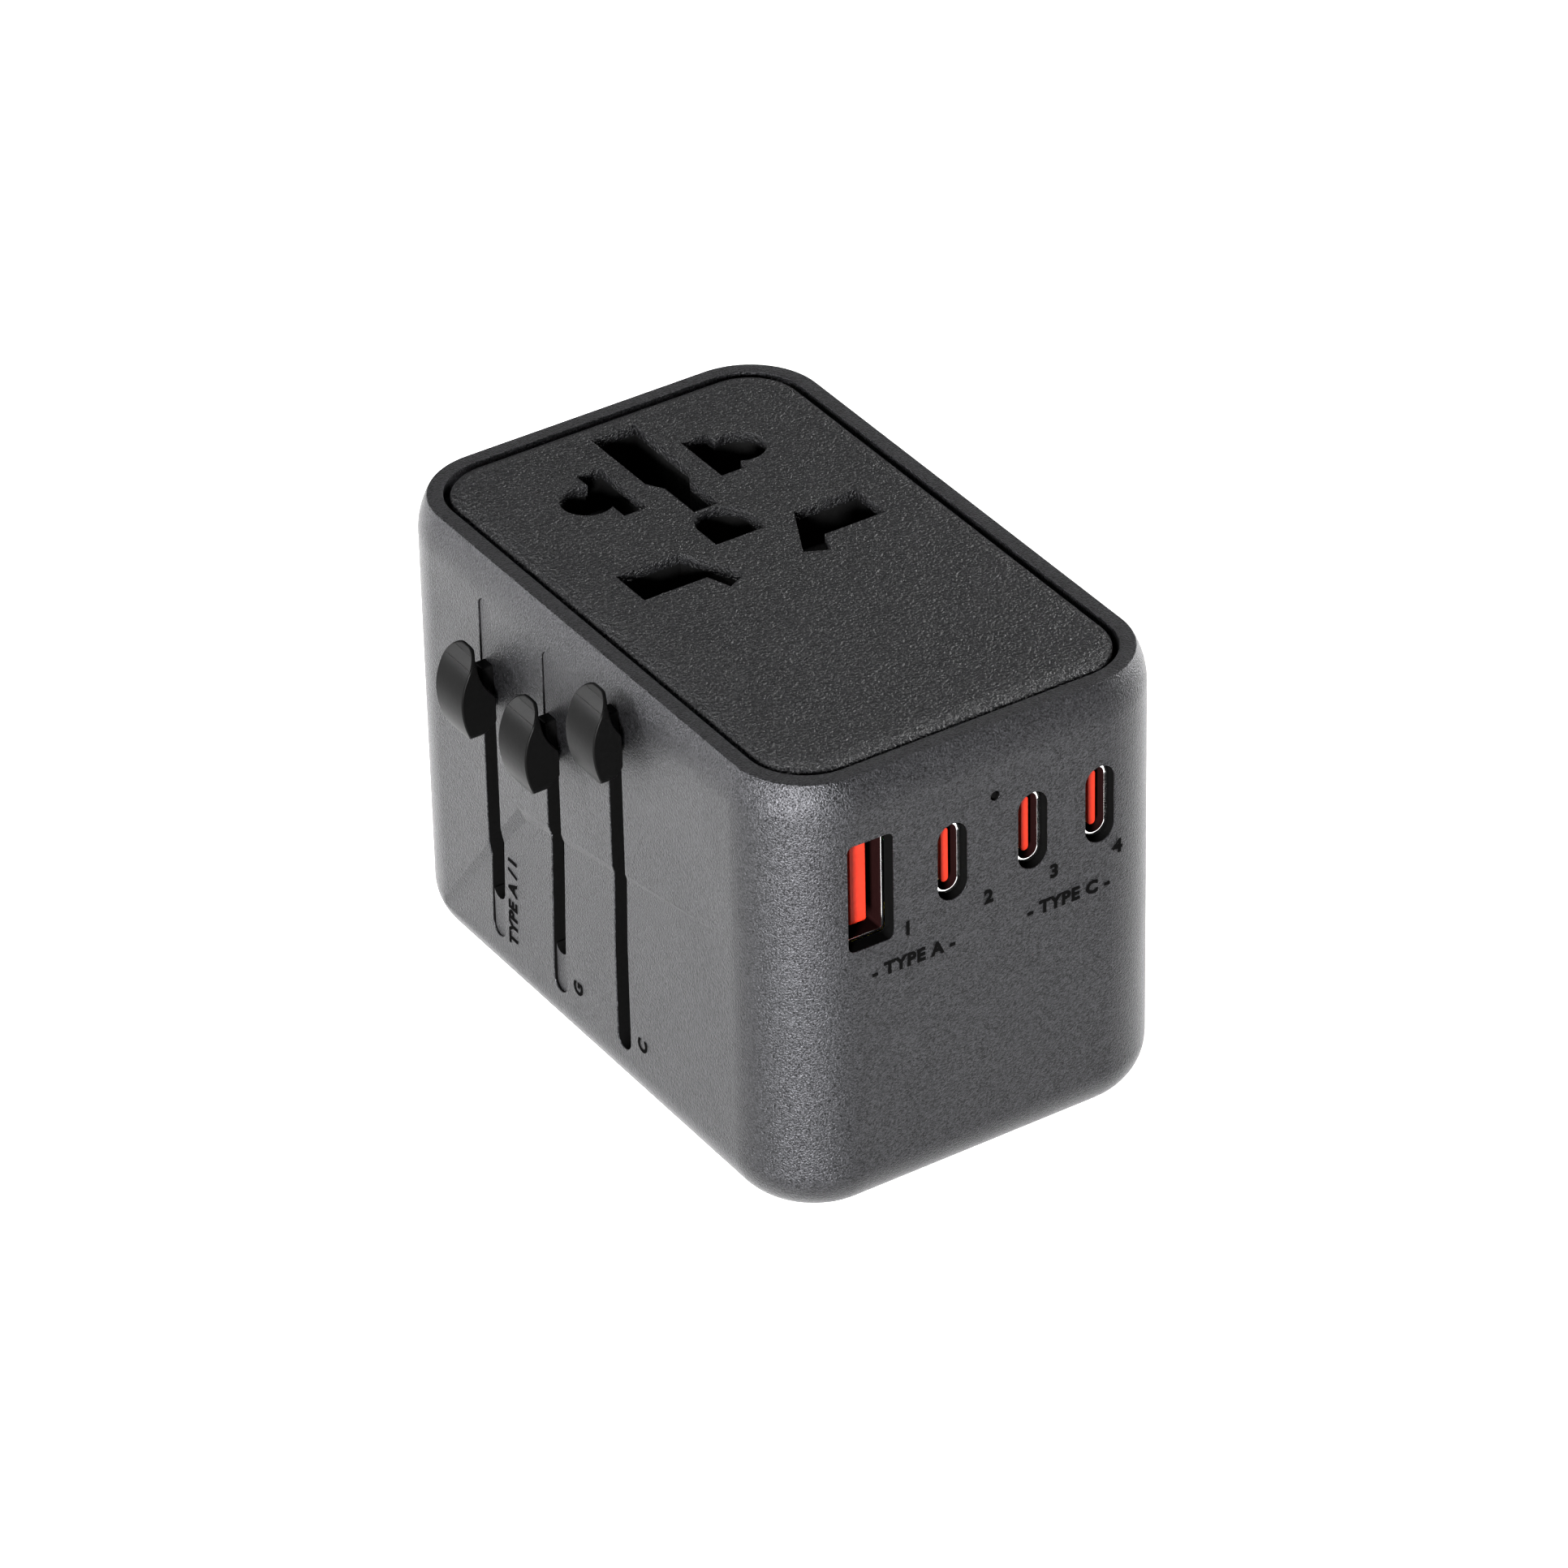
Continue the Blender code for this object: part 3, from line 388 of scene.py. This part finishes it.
for tag, corner, wall, count in (("a", 0.0006, 0.0003, 4), ("c_1", 0.00159, 0.0004, 12),
                                 ("c_2", 0.00159, 0.0004, 12), ("c_3", 0.00159, 0.0004, 12)):
    node = "usb_a_shell" if tag == "a" else "usb_" + tag.replace("c_", "c_shell_")
    low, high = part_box(node)
    shell = block("port_shell_" + tag, low, high)
    round_edges(shell, 1, corner, 10)
    bored(shell, wall, (high.y - low.y) - 0.0006)
    use(shell, "BEVEL", "rim", width=0.00008, segments=2, limit_method="ANGLE",
        angle_limit=math.radians(50))
    shade(shell)
    dress(shell, port_steel, "casing", "nickel", node)
    shell.data.materials.append(port_shadow)
    middle = (low + high) / 2
    for face in shell.data.polygons:
        away = face.center - middle
        inward = face.normal.x * away.x + face.normal.z * away.z < -1e-6
        if face.center.y > low.y + 0.0003 and (inward or face.normal.y < -0.9):
            face.material_index = 1

    node = node.replace("shell", "tongue")
    low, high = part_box(node)
    if tag == "a":
        low.z, high.z = low.z + 0.0006, high.z - 0.0006
        tongue = block("port_tongue_" + tag, low, high)
        pick(tongue, "EDGE", lambda edge: along(0)(edge) and edge.verts[0].co.y < low.y + 1e-5)
        bpy.ops.mesh.bevel(offset=0.0005, segments=4, affect="EDGES", clamp_overlap=False)
        bpy.ops.object.mode_set(mode="OBJECT")
    else:
        tongue = block("port_tongue_" + tag, low, high)
        round_edges(tongue, 1, 0.00043, 6)
    use(tongue, "BEVEL", "edge", width=0.00012, segments=2, limit_method="ANGLE",
        angle_limit=math.radians(50))
    shade(tongue)
    dress(tongue, port_red, "casing", "port_red", node)
    port_pads("port_pads_" + tag, low, high, count, 0.005)


# ---- Port lamp ----
# A pipe carries the light of a small lamp on the board to a pinhole over the ports.
# The lamp is unlit, and the pipe is painted flat black with no gloss, painted shade that shows as a dark
# dot.
pipe_end_painted_shade = plastic("pipe_end_painted_shade", (0.001, 0.001, 0.001), 0.0, 0.6, 0.002, 0.000005, 0.05,
                     specular=0.0)
dress(refined("led_light_pipe", "lamp_pipe", 0.00008, 50.0), pipe_end_painted_shade, "casing", "light_pipe",
      "led_light_pipe")


# ---- Shutters and their springs ----
# Grey moulded shutters slide under the socket plate and hide the line contacts.
# A thin wire spring pulls each one shut.
shutter_grey = plastic("shutter_grey", (0.1, 0.1, 0.1), 0.0, 0.5, 0.0004, 0.00002, 0.15)
for tag in ("front", "rear_left", "rear_right"):
    row, side = (tag.split("_") + [""])[:2]
    node = row + "_shutter" + ("_" + side if side else "")
    shutter = refined(node, "sliding_" + node, 0.0003)
    dress(shutter, shutter_grey, node, "shutter", node)
    coil = refined(node + "_spring", node + "_coil", 0.0)
    dress(coil, zinc, "casing", "steel", node + "_spring")


# ---- Flat blades and their carriage ----
# Two plated blades turn in round hubs, so that they also fit angled sockets.
# The moulded carriage rises to the rear knob behind the left wall.
carriage_black = plastic("carriage_black", (0.05, 0.05, 0.053), 0.0, 0.5, 0.0004, 0.00002, 0.15)
dress(refined("usa_aus_carriage", "blade_carriage", 0.0003), carriage_black, "usa_aus_slider",
      "inner_plastic", "usa_aus_carriage")
for side in ("left", "right"):
    node = "usa_aus_blade_" + side
    blade = refined(node, "flat_blade_" + side, 0.00018, 50.0)
    dress(blade, bright_nickel, "blade_" + side, "nickel", node)


# ---- Rectangular pins and their carriage ----
# Three solid pins with chamfered tips. The line and neutral pins have black insulating sleeves.
# They stand in a C-shaped carriage that leaves room for the blades.
dress(refined("uk_carriage", "pin_carriage", 0.0003), carriage_black, "uk_slider",
      "inner_plastic", "uk_carriage")
sleeve_black = plastic("sleeve_black", (0.02, 0.02, 0.02), 0.0, 0.35, 0.0005, 0.00001, 0.1)
sleeve_share, sleeve_proud = 0.56, 0.00006
chamfer = 0.0008
for node in ("uk_live_pin", "uk_neutral_pin", "uk_earth_pin"):
    low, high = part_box(node)
    pin = block("solid_" + node, (low.x, low.y, low.z + chamfer), high)
    pick(pin, "FACE", facing(2, -1))
    bpy.ops.mesh.inset(thickness=0.0007, depth=chamfer)
    bpy.ops.object.mode_set(mode="OBJECT")
    round_edges(pin, 2, 0.0004, 3)
    use(pin, "BEVEL", "edge", width=0.0002, segments=2, limit_method="ANGLE",
        angle_limit=math.radians(30))
    shade(pin)
    dress(pin, bright_nickel, "uk_slider", "nickel", node)
    if node != "uk_earth_pin":
        start = high.z - (high.z - low.z) * sleeve_share
        sleeve = block("sleeve_" + node, (low.x - sleeve_proud, low.y - sleeve_proud, start),
                       (high.x + sleeve_proud, high.y + sleeve_proud, high.z))
        round_edges(sleeve, 2, 0.00045, 3)
        use(sleeve, "BEVEL", "edge", width=0.00005, segments=2, limit_method="ANGLE",
            angle_limit=math.radians(50))
        shade(sleeve)
        dress(sleeve, sleeve_black, "uk_slider", "inner_plastic")


# ---- Round pins and their block ----
# Two round pins with sleeves stand in a long block with round ends, which fills a sunk socket.
# The block rides on an arm behind the left wall.
dress(refined("eu_plug_block", "round_pin_block", 0.0005, 50.0), carriage_black, "eu_slider",
      "inner_plastic", "eu_plug_block")


def stud(name, centre, radius, low_z, high_z, nose):
    """A round pin from low to high with a rounded nose at its lower end."""
    bpy.ops.object.select_all(action="DESELECT")
    middle = (centre[0], centre[1], (low_z + high_z) / 2)
    bpy.ops.mesh.primitive_cylinder_add(vertices=48, radius=radius, depth=high_z - low_z,
                                        location=middle)
    made = bpy.context.object
    made.name = name
    made.data.name = name
    bpy.ops.object.transform_apply(location=True, rotation=True, scale=True)
    if nose:
        pick(made, "FACE", facing(2, -1))
        for step in range(6):
            a, b = math.radians(15 * step), math.radians(15 * (step + 1))
            bpy.ops.mesh.inset(thickness=nose * (math.cos(a) - math.cos(b)),
                               depth=nose * (math.sin(b) - math.sin(a)))
        bpy.ops.object.mode_set(mode="OBJECT")
    return made


nose, round_sleeve_share = 0.0014, 0.53
for side in ("left", "right"):
    node = "eu_pin_" + side
    low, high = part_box(node)
    centre = ((low.x + high.x) / 2, (low.y + high.y) / 2)
    radius = (high.x - low.x) / 2
    pin = stud("round_pin_" + side, centre, radius, low.z + nose, high.z, nose)
    shade(pin)
    dress(pin, bright_nickel, "eu_slider", "nickel", node)
    start = high.z - (high.z - low.z) * round_sleeve_share
    sleeve = stud("round_sleeve_" + side, centre, radius + sleeve_proud, start, high.z, 0.0)
    use(sleeve, "BEVEL", "edge", width=0.00005, segments=2, limit_method="ANGLE",
        angle_limit=math.radians(50))
    shade(sleeve)
    dress(sleeve, sleeve_black, "eu_slider", "inner_plastic")


# ---- Slider guide ----
# A thin black guide behind the left wall. Grey strips on it fill the two shorter slots above
# and below their knobs, just inside the wall's face, with a hairline gap along the rear edge.
# The guide's own black, made flat and dull with no gloss as painted shade deep in the slots; it also
# paints shade on the fillers and the casing's cut walls.
guide_black_and_painted_shade = plastic("guide_black_and_painted_shade", (0.001, 0.001, 0.001), 0.0, 0.55, 0.0005, 0.00001, 0.1,
                      specular=0.0)
guide_low, guide_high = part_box("slider_guide_liner")
slot_ys = {"rear": 0.01783, "middle": 0.00538, "front": -0.00717}
slot_wide = 0.0025
slot_low, slot_top = 0.0071, 0.04965
open_low, open_top = 0.0128, 0.0411
filler_face, filler_back = -0.02458, -0.0225
guide_plate = block("slider_guide", (-0.0226, guide_low.y, guide_low.z), guide_high)
gates = []
for tag, gate_low, gate_top in (("rear", open_low, open_top), ("middle", open_low, open_top),
                                ("front", 0.0064, 0.05)):
    gates.append(block("gate_tool", (-0.03, slot_ys[tag] - slot_wide / 2, gate_low),
                       (-0.02, slot_ys[tag] + slot_wide / 2, gate_top)))
carve(guide_plate, gates)
use(guide_plate, "BEVEL", "edge", width=0.00015, segments=2, limit_method="ANGLE")
shade(guide_plate)
dress(guide_plate, guide_black_and_painted_shade, "casing", "casing", "slider_guide_liner")

seam, snug = 0.00026, 0.00001
for tag in ("rear", "middle"):
    y = slot_ys[tag]
    for end, low_z, top_z in (("top", open_top, slot_top - snug),
                              ("foot", slot_low + snug, open_low)):
        thin = 0.00012 if end == "top" else seam
        filler = block("slot_filler_%s_%s" % (tag, end),
                       (filler_face, y - slot_wide / 2 + snug, low_z),
                       (filler_back, y + slot_wide / 2 - thin, top_z))
        outer_z = top_z if end == "top" else low_z
        pick(filler, "EDGE", lambda edge: along(0)(edge) and abs(edge.verts[0].co.z - outer_z) < 1e-5)
        bpy.ops.mesh.bevel(offset=0.00108, segments=10, affect="EDGES", clamp_overlap=False)
        bpy.ops.object.mode_set(mode="OBJECT")
        if end == "foot":
            bpy.ops.object.select_all(action="DESELECT")
            bpy.ops.mesh.primitive_cylinder_add(vertices=32, radius=0.0011, depth=0.01,
                                                location=(-0.024, y - 0.00005, top_z + 0.0002),
                                                rotation=(0.0, math.pi / 2, 0.0))
            carve(filler, [bpy.context.object])
            only(filler)
            filler.data.transform(Matrix.Translation((0.00016, 0.0, 0.0)))
        use(filler, "BEVEL", "edge", width=0.00006, segments=2, limit_method="ANGLE",
            angle_limit=math.radians(50))
        shade(filler)
        dress(filler, casing_grey, "casing", "casing")
        # The scooped and hidden faces are painted black: painted shade in the cut.
        filler.data.materials.append(guide_black_and_painted_shade)
        for face in filler.data.polygons:
            face.material_index = int(face.normal.x > -0.7)


# ---- Outer casing ----
# One deep moulding in grained metallic grey: flat walls, wide corners, a rolled base edge and a
# soft shoulder up to a narrow rim. A shallow sloping facet lies low on the slider wall.
low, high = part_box("outer_casing")
top_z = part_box("socket_plate")[1].z
half_w, half_d = high.x, high.y
corner_r = 0.0097
base_r = 0.0061
base_inset = 0.0045
shoulder_r, shoulder_angle = 0.0094, 28.0
rim_edge_z, rim_inset = 0.05405, 0.00285
wall = 0.0018


def arc_steps(radius, total, count):
    """(inward, along) steps round an arc that starts straight and turns inward."""
    steps = []
    for index in range(count):
        a, b = (math.radians(total * k / count) for k in (index, index + 1))
        steps.append((radius * (math.cos(a) - math.cos(b)), radius * (math.sin(b) - math.sin(a))))
    return steps


def inset_chain(piece, test, steps):
    """Step a face inward and outward along its normal, leaving it selected in edit mode."""
    pick(piece, "FACE", test)
    for inward, outward in steps:
        bpy.ops.mesh.inset(thickness=inward, depth=outward)


shoulder = arc_steps(shoulder_r, shoulder_angle, 8)
shoulder_h = sum(step[1] for step in shoulder)
shoulder_in = sum(step[0] for step in shoulder)
rim_width = rim_inset - shoulder_in
start_z = base_r
end_z = rim_edge_z - shoulder_h
casing = block("casing_shell", (-half_w, -half_d, start_z), (half_w, half_d, end_z))
round_edges(casing, 2, corner_r, 20)
rim = [(rim_width * 0.5, 0.00004), (rim_width * 0.5, 0.00001)]
inset_chain(casing, facing(2, 1), shoulder + rim)
bpy.ops.mesh.delete(type="FACE")
bpy.ops.object.mode_set(mode="OBJECT")
base_turn = math.degrees(math.acos(1 - base_inset / base_r))
inset_chain(casing, facing(2, -1), arc_steps(base_r, base_turn, 12))
bpy.ops.mesh.delete(type="FACE")
bpy.ops.object.mode_set(mode="OBJECT")
use(casing, "SOLIDIFY", "wall", thickness=wall, offset=-1.0, use_even_offset=True)

facet_slope_y, facet_slope_z = 0.01551, 0.0237
facet_start_y, facet_start_z = 0.011, 0.008


def facet_depth(y, z):
    """How far the facet's plane lies inside the slider wall."""
    return facet_slope_z * (z - facet_start_z) + facet_slope_y * (y - facet_start_y)


facet = block("facet_tool", (-half_w - 0.002, 0.0, 0.0), (-half_w, 1.0, 1.0))
facet_corners = {(0, 1, 1): (0.0163, 0.0327), (1, 1, 1): (-0.0330, 0.0409),
                 (0, 0, 1): (0.0447, -0.0030), (1, 0, 1): (-0.0330, -0.0030),
                 (0, 1, 0): (0.0119, 0.0251), (1, 1, 0): (-0.0330, 0.0341),
                 (0, 0, 0): (0.0357, -0.0030), (1, 0, 0): (-0.0330, -0.0030)}
for vertex in facet.data.vertices:
    outer = vertex.co.x < -half_w - 0.001
    y, z = facet_corners[(round(vertex.co.y), round(vertex.co.z), int(outer))]
    sunk = 0.0 if outer else facet_depth(y, z)
    vertex.co = (vertex.co.x + sunk, y, z)
only(facet)
bpy.ops.object.mode_set(mode="EDIT")
bpy.ops.mesh.select_all(action="SELECT")
bpy.ops.mesh.normals_make_consistent(inside=False)
bpy.ops.object.mode_set(mode="OBJECT")
carve(casing, [facet])


def ramp_edge(edge):
    """True for the soft edges of the facet's ramps, low on the slider wall."""
    if len(edge.link_faces) != 2 or not 8.0 < math.degrees(edge.calc_face_angle(0.0)) < 35.0:
        return False
    return all(v.co.x < -half_w + 0.0007 and abs(v.co.y) < 0.034 and 0.0065 < v.co.z < 0.036
               for v in edge.verts)


tools = []
for y in slot_ys.values():
    tool = block("slot_tool", (-half_w - 0.001, y - slot_wide / 2, slot_low),
                 (-half_w + wall + 0.0005, y + slot_wide / 2, slot_top))
    round_edges(tool, 0, slot_wide / 2 - 0.00001, 12)
    tools.append(tool)
port_z = 0.04005
ports_x, ports_z = (-0.0168, 0.0162), (0.0335, 0.0505)
small_window = (0.0036, 0.0092, 0.00179)
for x, wide, tall, radius in ((-0.01385, 0.0054, 0.01285, 0.0007), (-0.00395, *small_window),
                              (0.0059, *small_window), (0.0142, *small_window)):
    tool = block("window_tool", (x - wide / 2, -half_d - 0.001, port_z - tall / 2),
                 (x + wide / 2, -half_d + wall + 0.0005, port_z + tall / 2))
    round_edges(tool, 1, radius, 10)
    tools.append(tool)
bpy.ops.mesh.primitive_cylinder_add(vertices=24, radius=0.00055, depth=0.006,
                                    location=(0.0013, -half_d, 0.04605),
                                    rotation=(math.pi / 2, 0.0, 0.0))
tools.append(bpy.context.object)

carve(casing, tools)
use(casing, "BEVEL", "edge", width=0.0001, segments=2, limit_method="ANGLE",
    angle_limit=math.radians(38), use_clamp_overlap=False)
only(casing)
bpy.ops.object.shade_smooth_by_angle(angle=math.radians(40))
pick(casing, "EDGE", ramp_edge)
bpy.ops.mesh.mark_sharp()
bpy.ops.object.mode_set(mode="OBJECT")
use(casing, "WEIGHTED_NORMAL", "flat_faces", keep_sharp=True, weight=100)
dress(casing, casing_grey, "casing", "casing", "outer_casing")
# The walls of the slots and port windows are painted black: painted shade inside the openings.
casing.data.materials.append(guide_black_and_painted_shade)
lip, slack = 0.00025, 0.0001
for face in casing.data.polygons:
    c, n = face.center, face.normal
    in_slot = -half_w + lip < c.x < -half_w + wall + slack and abs(n.x) < 0.5
    in_slot = in_slot and any(abs(c.y - y) < slot_wide / 2 + slack for y in slot_ys.values())
    in_port = -half_d + lip < c.y < -half_d + wall + slack and abs(n.y) < 0.5
    in_port = in_port and ports_x[0] < c.x < ports_x[1] and ports_z[0] < c.z < ports_z[1]
    if (in_slot and slot_low - slack < c.z < slot_top + slack) or in_port:
        face.material_index = 1


# ---- Socket plate ----
# A dark cover with a leather grain and pillowed edges, in a shadow gap inside the rim.
# Its openings take every common plug, and a black block below it lines them; that block's black is
# partly painted shade.
low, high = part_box("socket_plate")
cover_inset = 0.00355
cover_half = (half_w - cover_inset, half_d - cover_inset)
cover_thick = 0.0013
cover_edge = 0.00075
pillow_width, pillow_steps = 0.0023, 9
earth_half, earth_neck_half = 0.00275, 0.00155
round_earth_r, round_earth_y = 0.0031, 0.00995
pillow = []
for step in range(pillow_steps):
    a, b = (math.radians(90 * k / pillow_steps) for k in (step, step + 1))
    pillow.append((pillow_width * (math.cos(a) - math.cos(b)), cover_edge * (math.sin(b) - math.sin(a))))


def socket_tools(grow, low_z, high_z):
    """Cutters for all the openings, each grown by the same amount all round."""
    made = []

    def bar(x, y):
        made.append(block("opening_tool", (x[0] - grow, y[0] - grow, low_z),
                          (x[1] + grow, y[1] + grow, high_z)))

    def hole(x, y, radius):
        bpy.ops.object.select_all(action="DESELECT")
        bpy.ops.mesh.primitive_cylinder_add(vertices=64, radius=radius + grow,
                                            depth=high_z - low_z,
                                            location=(x, y, (low_z + high_z) / 2))
        bpy.ops.object.transform_apply(location=True, rotation=True, scale=True)
        made.append(bpy.context.object)

    bar((-earth_half, earth_half), (0.0208, 0.0316))
    bar((-earth_neck_half, earth_neck_half), (0.0133, 0.0190))
    bar((-earth_half, earth_half), (0.0189, 0.0209))
    for vertex in made[-1].data.vertices:
        if vertex.co.y < 0.020:
            vertex.co.x *= earth_neck_half / earth_half
    hole(0.0, round_earth_y, round_earth_r)
    bar((-round_earth_r, round_earth_r), (0.0066, round_earth_y))
    bar((-0.0079, -0.00485), (0.01685, 0.0264))
    bar((0.00475, 0.0080), (0.0177, 0.0257))
    for side in (-1, 1):
        hole(side * 0.0095, 0.0216, 0.00295)
        bar(sorted((side * 0.00705, side * 0.01495)), (0.0019, 0.00745))
        bar((-0.0085, -0.00355), (-0.0010, 0.0056))
        corners = {(0, 0): (-0.0062, -0.0010), (1, 0): (-0.00355, 0.0003),
                   (1, 1): (-0.00705, 0.0074), (0, 1): (-0.0085, 0.0052)}
        for vertex in made[-1].data.vertices:
            x, y = corners[(int(vertex.co.x > -0.006), int(vertex.co.y > 0.002))]
            grow_x = grow if vertex.co.x > -0.006 else -grow
            grow_y = grow if vertex.co.y > 0.002 else -grow
            vertex.co.x, vertex.co.y = (x + grow_x) * -side, y + grow_y
        if side == 1:
            made[-1].data.flip_normals()
    return made


cover_black = plastic("cover_black", (0.0045, 0.0045, 0.0049), 0.0, 0.36, 0.00038, 0.0006, 0.6,
                      specular=0.1)
cover_low = high.z - cover_thick
cover = block("socket_cover", (-cover_half[0], -cover_half[1], cover_low),
              (cover_half[0], cover_half[1], high.z - cover_edge))
round_edges(cover, 2, corner_r - cover_inset, 20)
inset_chain(cover, facing(2, 1), pillow)
bpy.ops.object.mode_set(mode="OBJECT")
carve(cover, socket_tools(0.0, cover_low - 0.001, high.z + 0.001))
use(cover, "BEVEL", "edge", width=0.0001, segments=2, limit_method="ANGLE",
    angle_limit=math.radians(40))
shade(cover, 40.0)
dress(cover, cover_black, "casing", "top_plate", "socket_plate")

block_low, lining_top, lining_inset = 0.0493, 0.0511, 0.0021
# Black plastic, darkened and dulled as painted shade deep in the openings.
lining_black_painted_shade = plastic("lining_black_painted_shade", (0.003, 0.003, 0.003), 0.0, 0.6, 0.0006, 0.00003, 0.1,
                       specular=0.02)
lining = block("socket_lining", (-half_w + lining_inset, -half_d + lining_inset, block_low),
               (half_w - lining_inset, half_d - lining_inset, lining_top))
round_edges(lining, 2, corner_r - lining_inset, 20)
inset_chain(lining, facing(2, 1), [(0.00155, 0.0), (0.00001, cover_low - 0.00005 - lining_top)])
bpy.ops.object.mode_set(mode="OBJECT")
carve(lining, socket_tools(0.00012, block_low - 0.001, cover_low + 0.001))
shade(lining, 40.0)
dress(lining, lining_black_painted_shade, "casing", "top_plate", "socket_plate")


# ---- Slider knobs ----
# Satin black thumb paddles, thick at the foot and scooped towards the top, each on a stem
# that passes through its slot.
knob_black = plastic("knob_black", (0.0008, 0.0008, 0.0008), 0.0, 0.36, 0.0005, 0.00001, 0.1,
                     specular=0.02)
crown, levels, knob_gap = 0.45, 30, 0.0007


def along_knob(share, out):
    """How far a knob's outer and inner faces stand from the wall, from its foot to its top."""
    bend = 0.0055 if share < crown else 0.0080
    outer = out - bend * (share - crown) ** 2
    inner = max(knob_gap, outer - 0.0004 - 0.009 * max(0.0, 0.93 - share) ** 1.2)
    if share < 0.15:
        inner = max(inner, knob_gap + (outer - 0.0021) * (1 - share / 0.15))
    return outer, inner


for node, name, body, out in (("usa_aus_knob", "knob_rear", "usa_aus_slider", 0.00485),
                              ("uk_knob", "knob_middle", "uk_slider", 0.00485),
                              ("eu_knob", "knob_front", "eu_slider", 0.0042)):
    low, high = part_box(node)
    middle = (low.y + high.y) / 2
    paddle = block(name, (-half_w - 0.006, low.y, low.z), (-half_w - 0.0002, high.y, high.z))
    pick(paddle, "EDGE", lambda edge: along(0)(edge) and edge.verts[0].co.z > low.z + 0.001)
    bpy.ops.mesh.bevel(offset=0.0023, segments=10, affect="EDGES", clamp_overlap=False)
    bpy.ops.object.mode_set(mode="OBJECT")
    pick(paddle, "EDGE", lambda edge: along(0)(edge) and edge.verts[0].co.z < low.z + 0.0005)
    bpy.ops.mesh.bevel(offset=0.0012, segments=7, affect="EDGES", clamp_overlap=False)
    bpy.ops.object.mode_set(mode="OBJECT")
    profile = block("profile_tool", (-1.0, low.y - 0.001, low.z - 0.0002),
                    (0.0, high.y + 0.001, high.z + 0.0002))
    pick(profile, "FACE", facing(2, 1))
    rise = (high.z - low.z + 0.0004) / levels
    for vertex in bmesh.from_edit_mesh(profile.data).verts:
        vertex.co.z = min(vertex.co.z, low.z - 0.0002 + rise)
    bmesh.update_edit_mesh(profile.data)
    for step in range(levels - 1):
        bpy.ops.mesh.extrude_region_move(TRANSFORM_OT_translate={"value": (0.0, 0.0, rise)})
    bpy.ops.object.mode_set(mode="OBJECT")
    for vertex in profile.data.vertices:
        share = min(max((vertex.co.z - low.z) / (high.z - low.z), 0.0), 1.0)
        outer, inner = along_knob(share, out)
        vertex.co.x = -half_w - (outer if vertex.co.x < -0.5 else inner)
    carve(paddle, [profile], "INTERSECT")
    stem = block("stem_tool", (-half_w - 0.0012, middle - 0.0009, low.z + 0.0021),
                 (high.x, middle + 0.0009, low.z + 0.0073))
    round_edges(stem, 0, 0.0002, 2)
    carve(paddle, [stem], "UNION")
    use(paddle, "BEVEL", "edge", width=0.00018, segments=3, limit_method="ANGLE",
        angle_limit=math.radians(45), use_clamp_overlap=False)
    shade(paddle, 40.0)
    dress(paddle, knob_black, body, "knob", node)


# ---- Printed marks ----
# Black pad-printed port numbers, plain captions and plug-type letters, a few hundredths proud.
# The marks on the slider wall read upward beside the foot of each slot.
print_black = plastic("print_black", (0.001, 0.001, 0.001), 0.0, 0.7, 0.0005, 0.000003, 0.05,
                      specular=0.0)
ink = 0.00003


def printed(name, words, size, place, turn, spacing=1.0, bold=0.00009):
    """A thin raised mark centred on a place, with its text turned onto the wall."""
    bpy.ops.object.select_all(action="DESELECT")
    bpy.ops.object.text_add(location=(0.0, 0.0, 0.0))
    mark = bpy.context.object
    mark.name = name
    mark.data.body = words
    mark.data.size = size
    mark.data.space_character = spacing
    mark.data.align_x = "CENTER"
    mark.data.align_y = "CENTER"
    mark.data.extrude = ink
    mark.data.offset = bold
    mark.data.resolution_u = 3
    bpy.ops.object.convert(target="MESH")
    mark = bpy.context.object
    mark.data.transform(Matrix.Translation(place) @ turn)
    if place[0] < -half_w:
        for vertex in mark.data.vertices:
            vertex.co.x += max(0.0, facet_depth(vertex.co.y, vertex.co.z))
    dress(mark, print_black, "casing", "casing")


front_turn = Matrix.Rotation(math.pi / 2, 4, "X")
front_y = -half_d - ink / 2
number_z, caption_z = 0.0340, 0.0301
for words, x in (("1", -0.0095), ("2", 0.0004), ("3", 0.0085), ("4", 0.0164)):
    printed("mark_" + words, words, 0.0022, (x, front_y, number_z), front_turn)
for name, words, x in (("mark_rating_a", "- TYPE A -", -0.0088),
                       ("mark_rating_c", "- TYPE C -", 0.0103)):
    printed(name, words, 0.0021, (x, front_y, caption_z), front_turn, 1.1)
side_turn = Matrix.Rotation(-math.pi / 2, 4, "Z") @ front_turn @ Matrix.Rotation(math.pi / 2, 4, "Z")
for name, words, y, z in (("mark_flat", "TYPE A / I", 0.0148, 0.0130),
                          ("mark_rectangular", "G", 0.0017, 0.0095),
                          ("mark_round", "C", -0.0109, 0.0095)):
    printed(name, words, 0.0023, (-half_w - ink / 2, y, z), side_turn, 1.1, 0.00008)
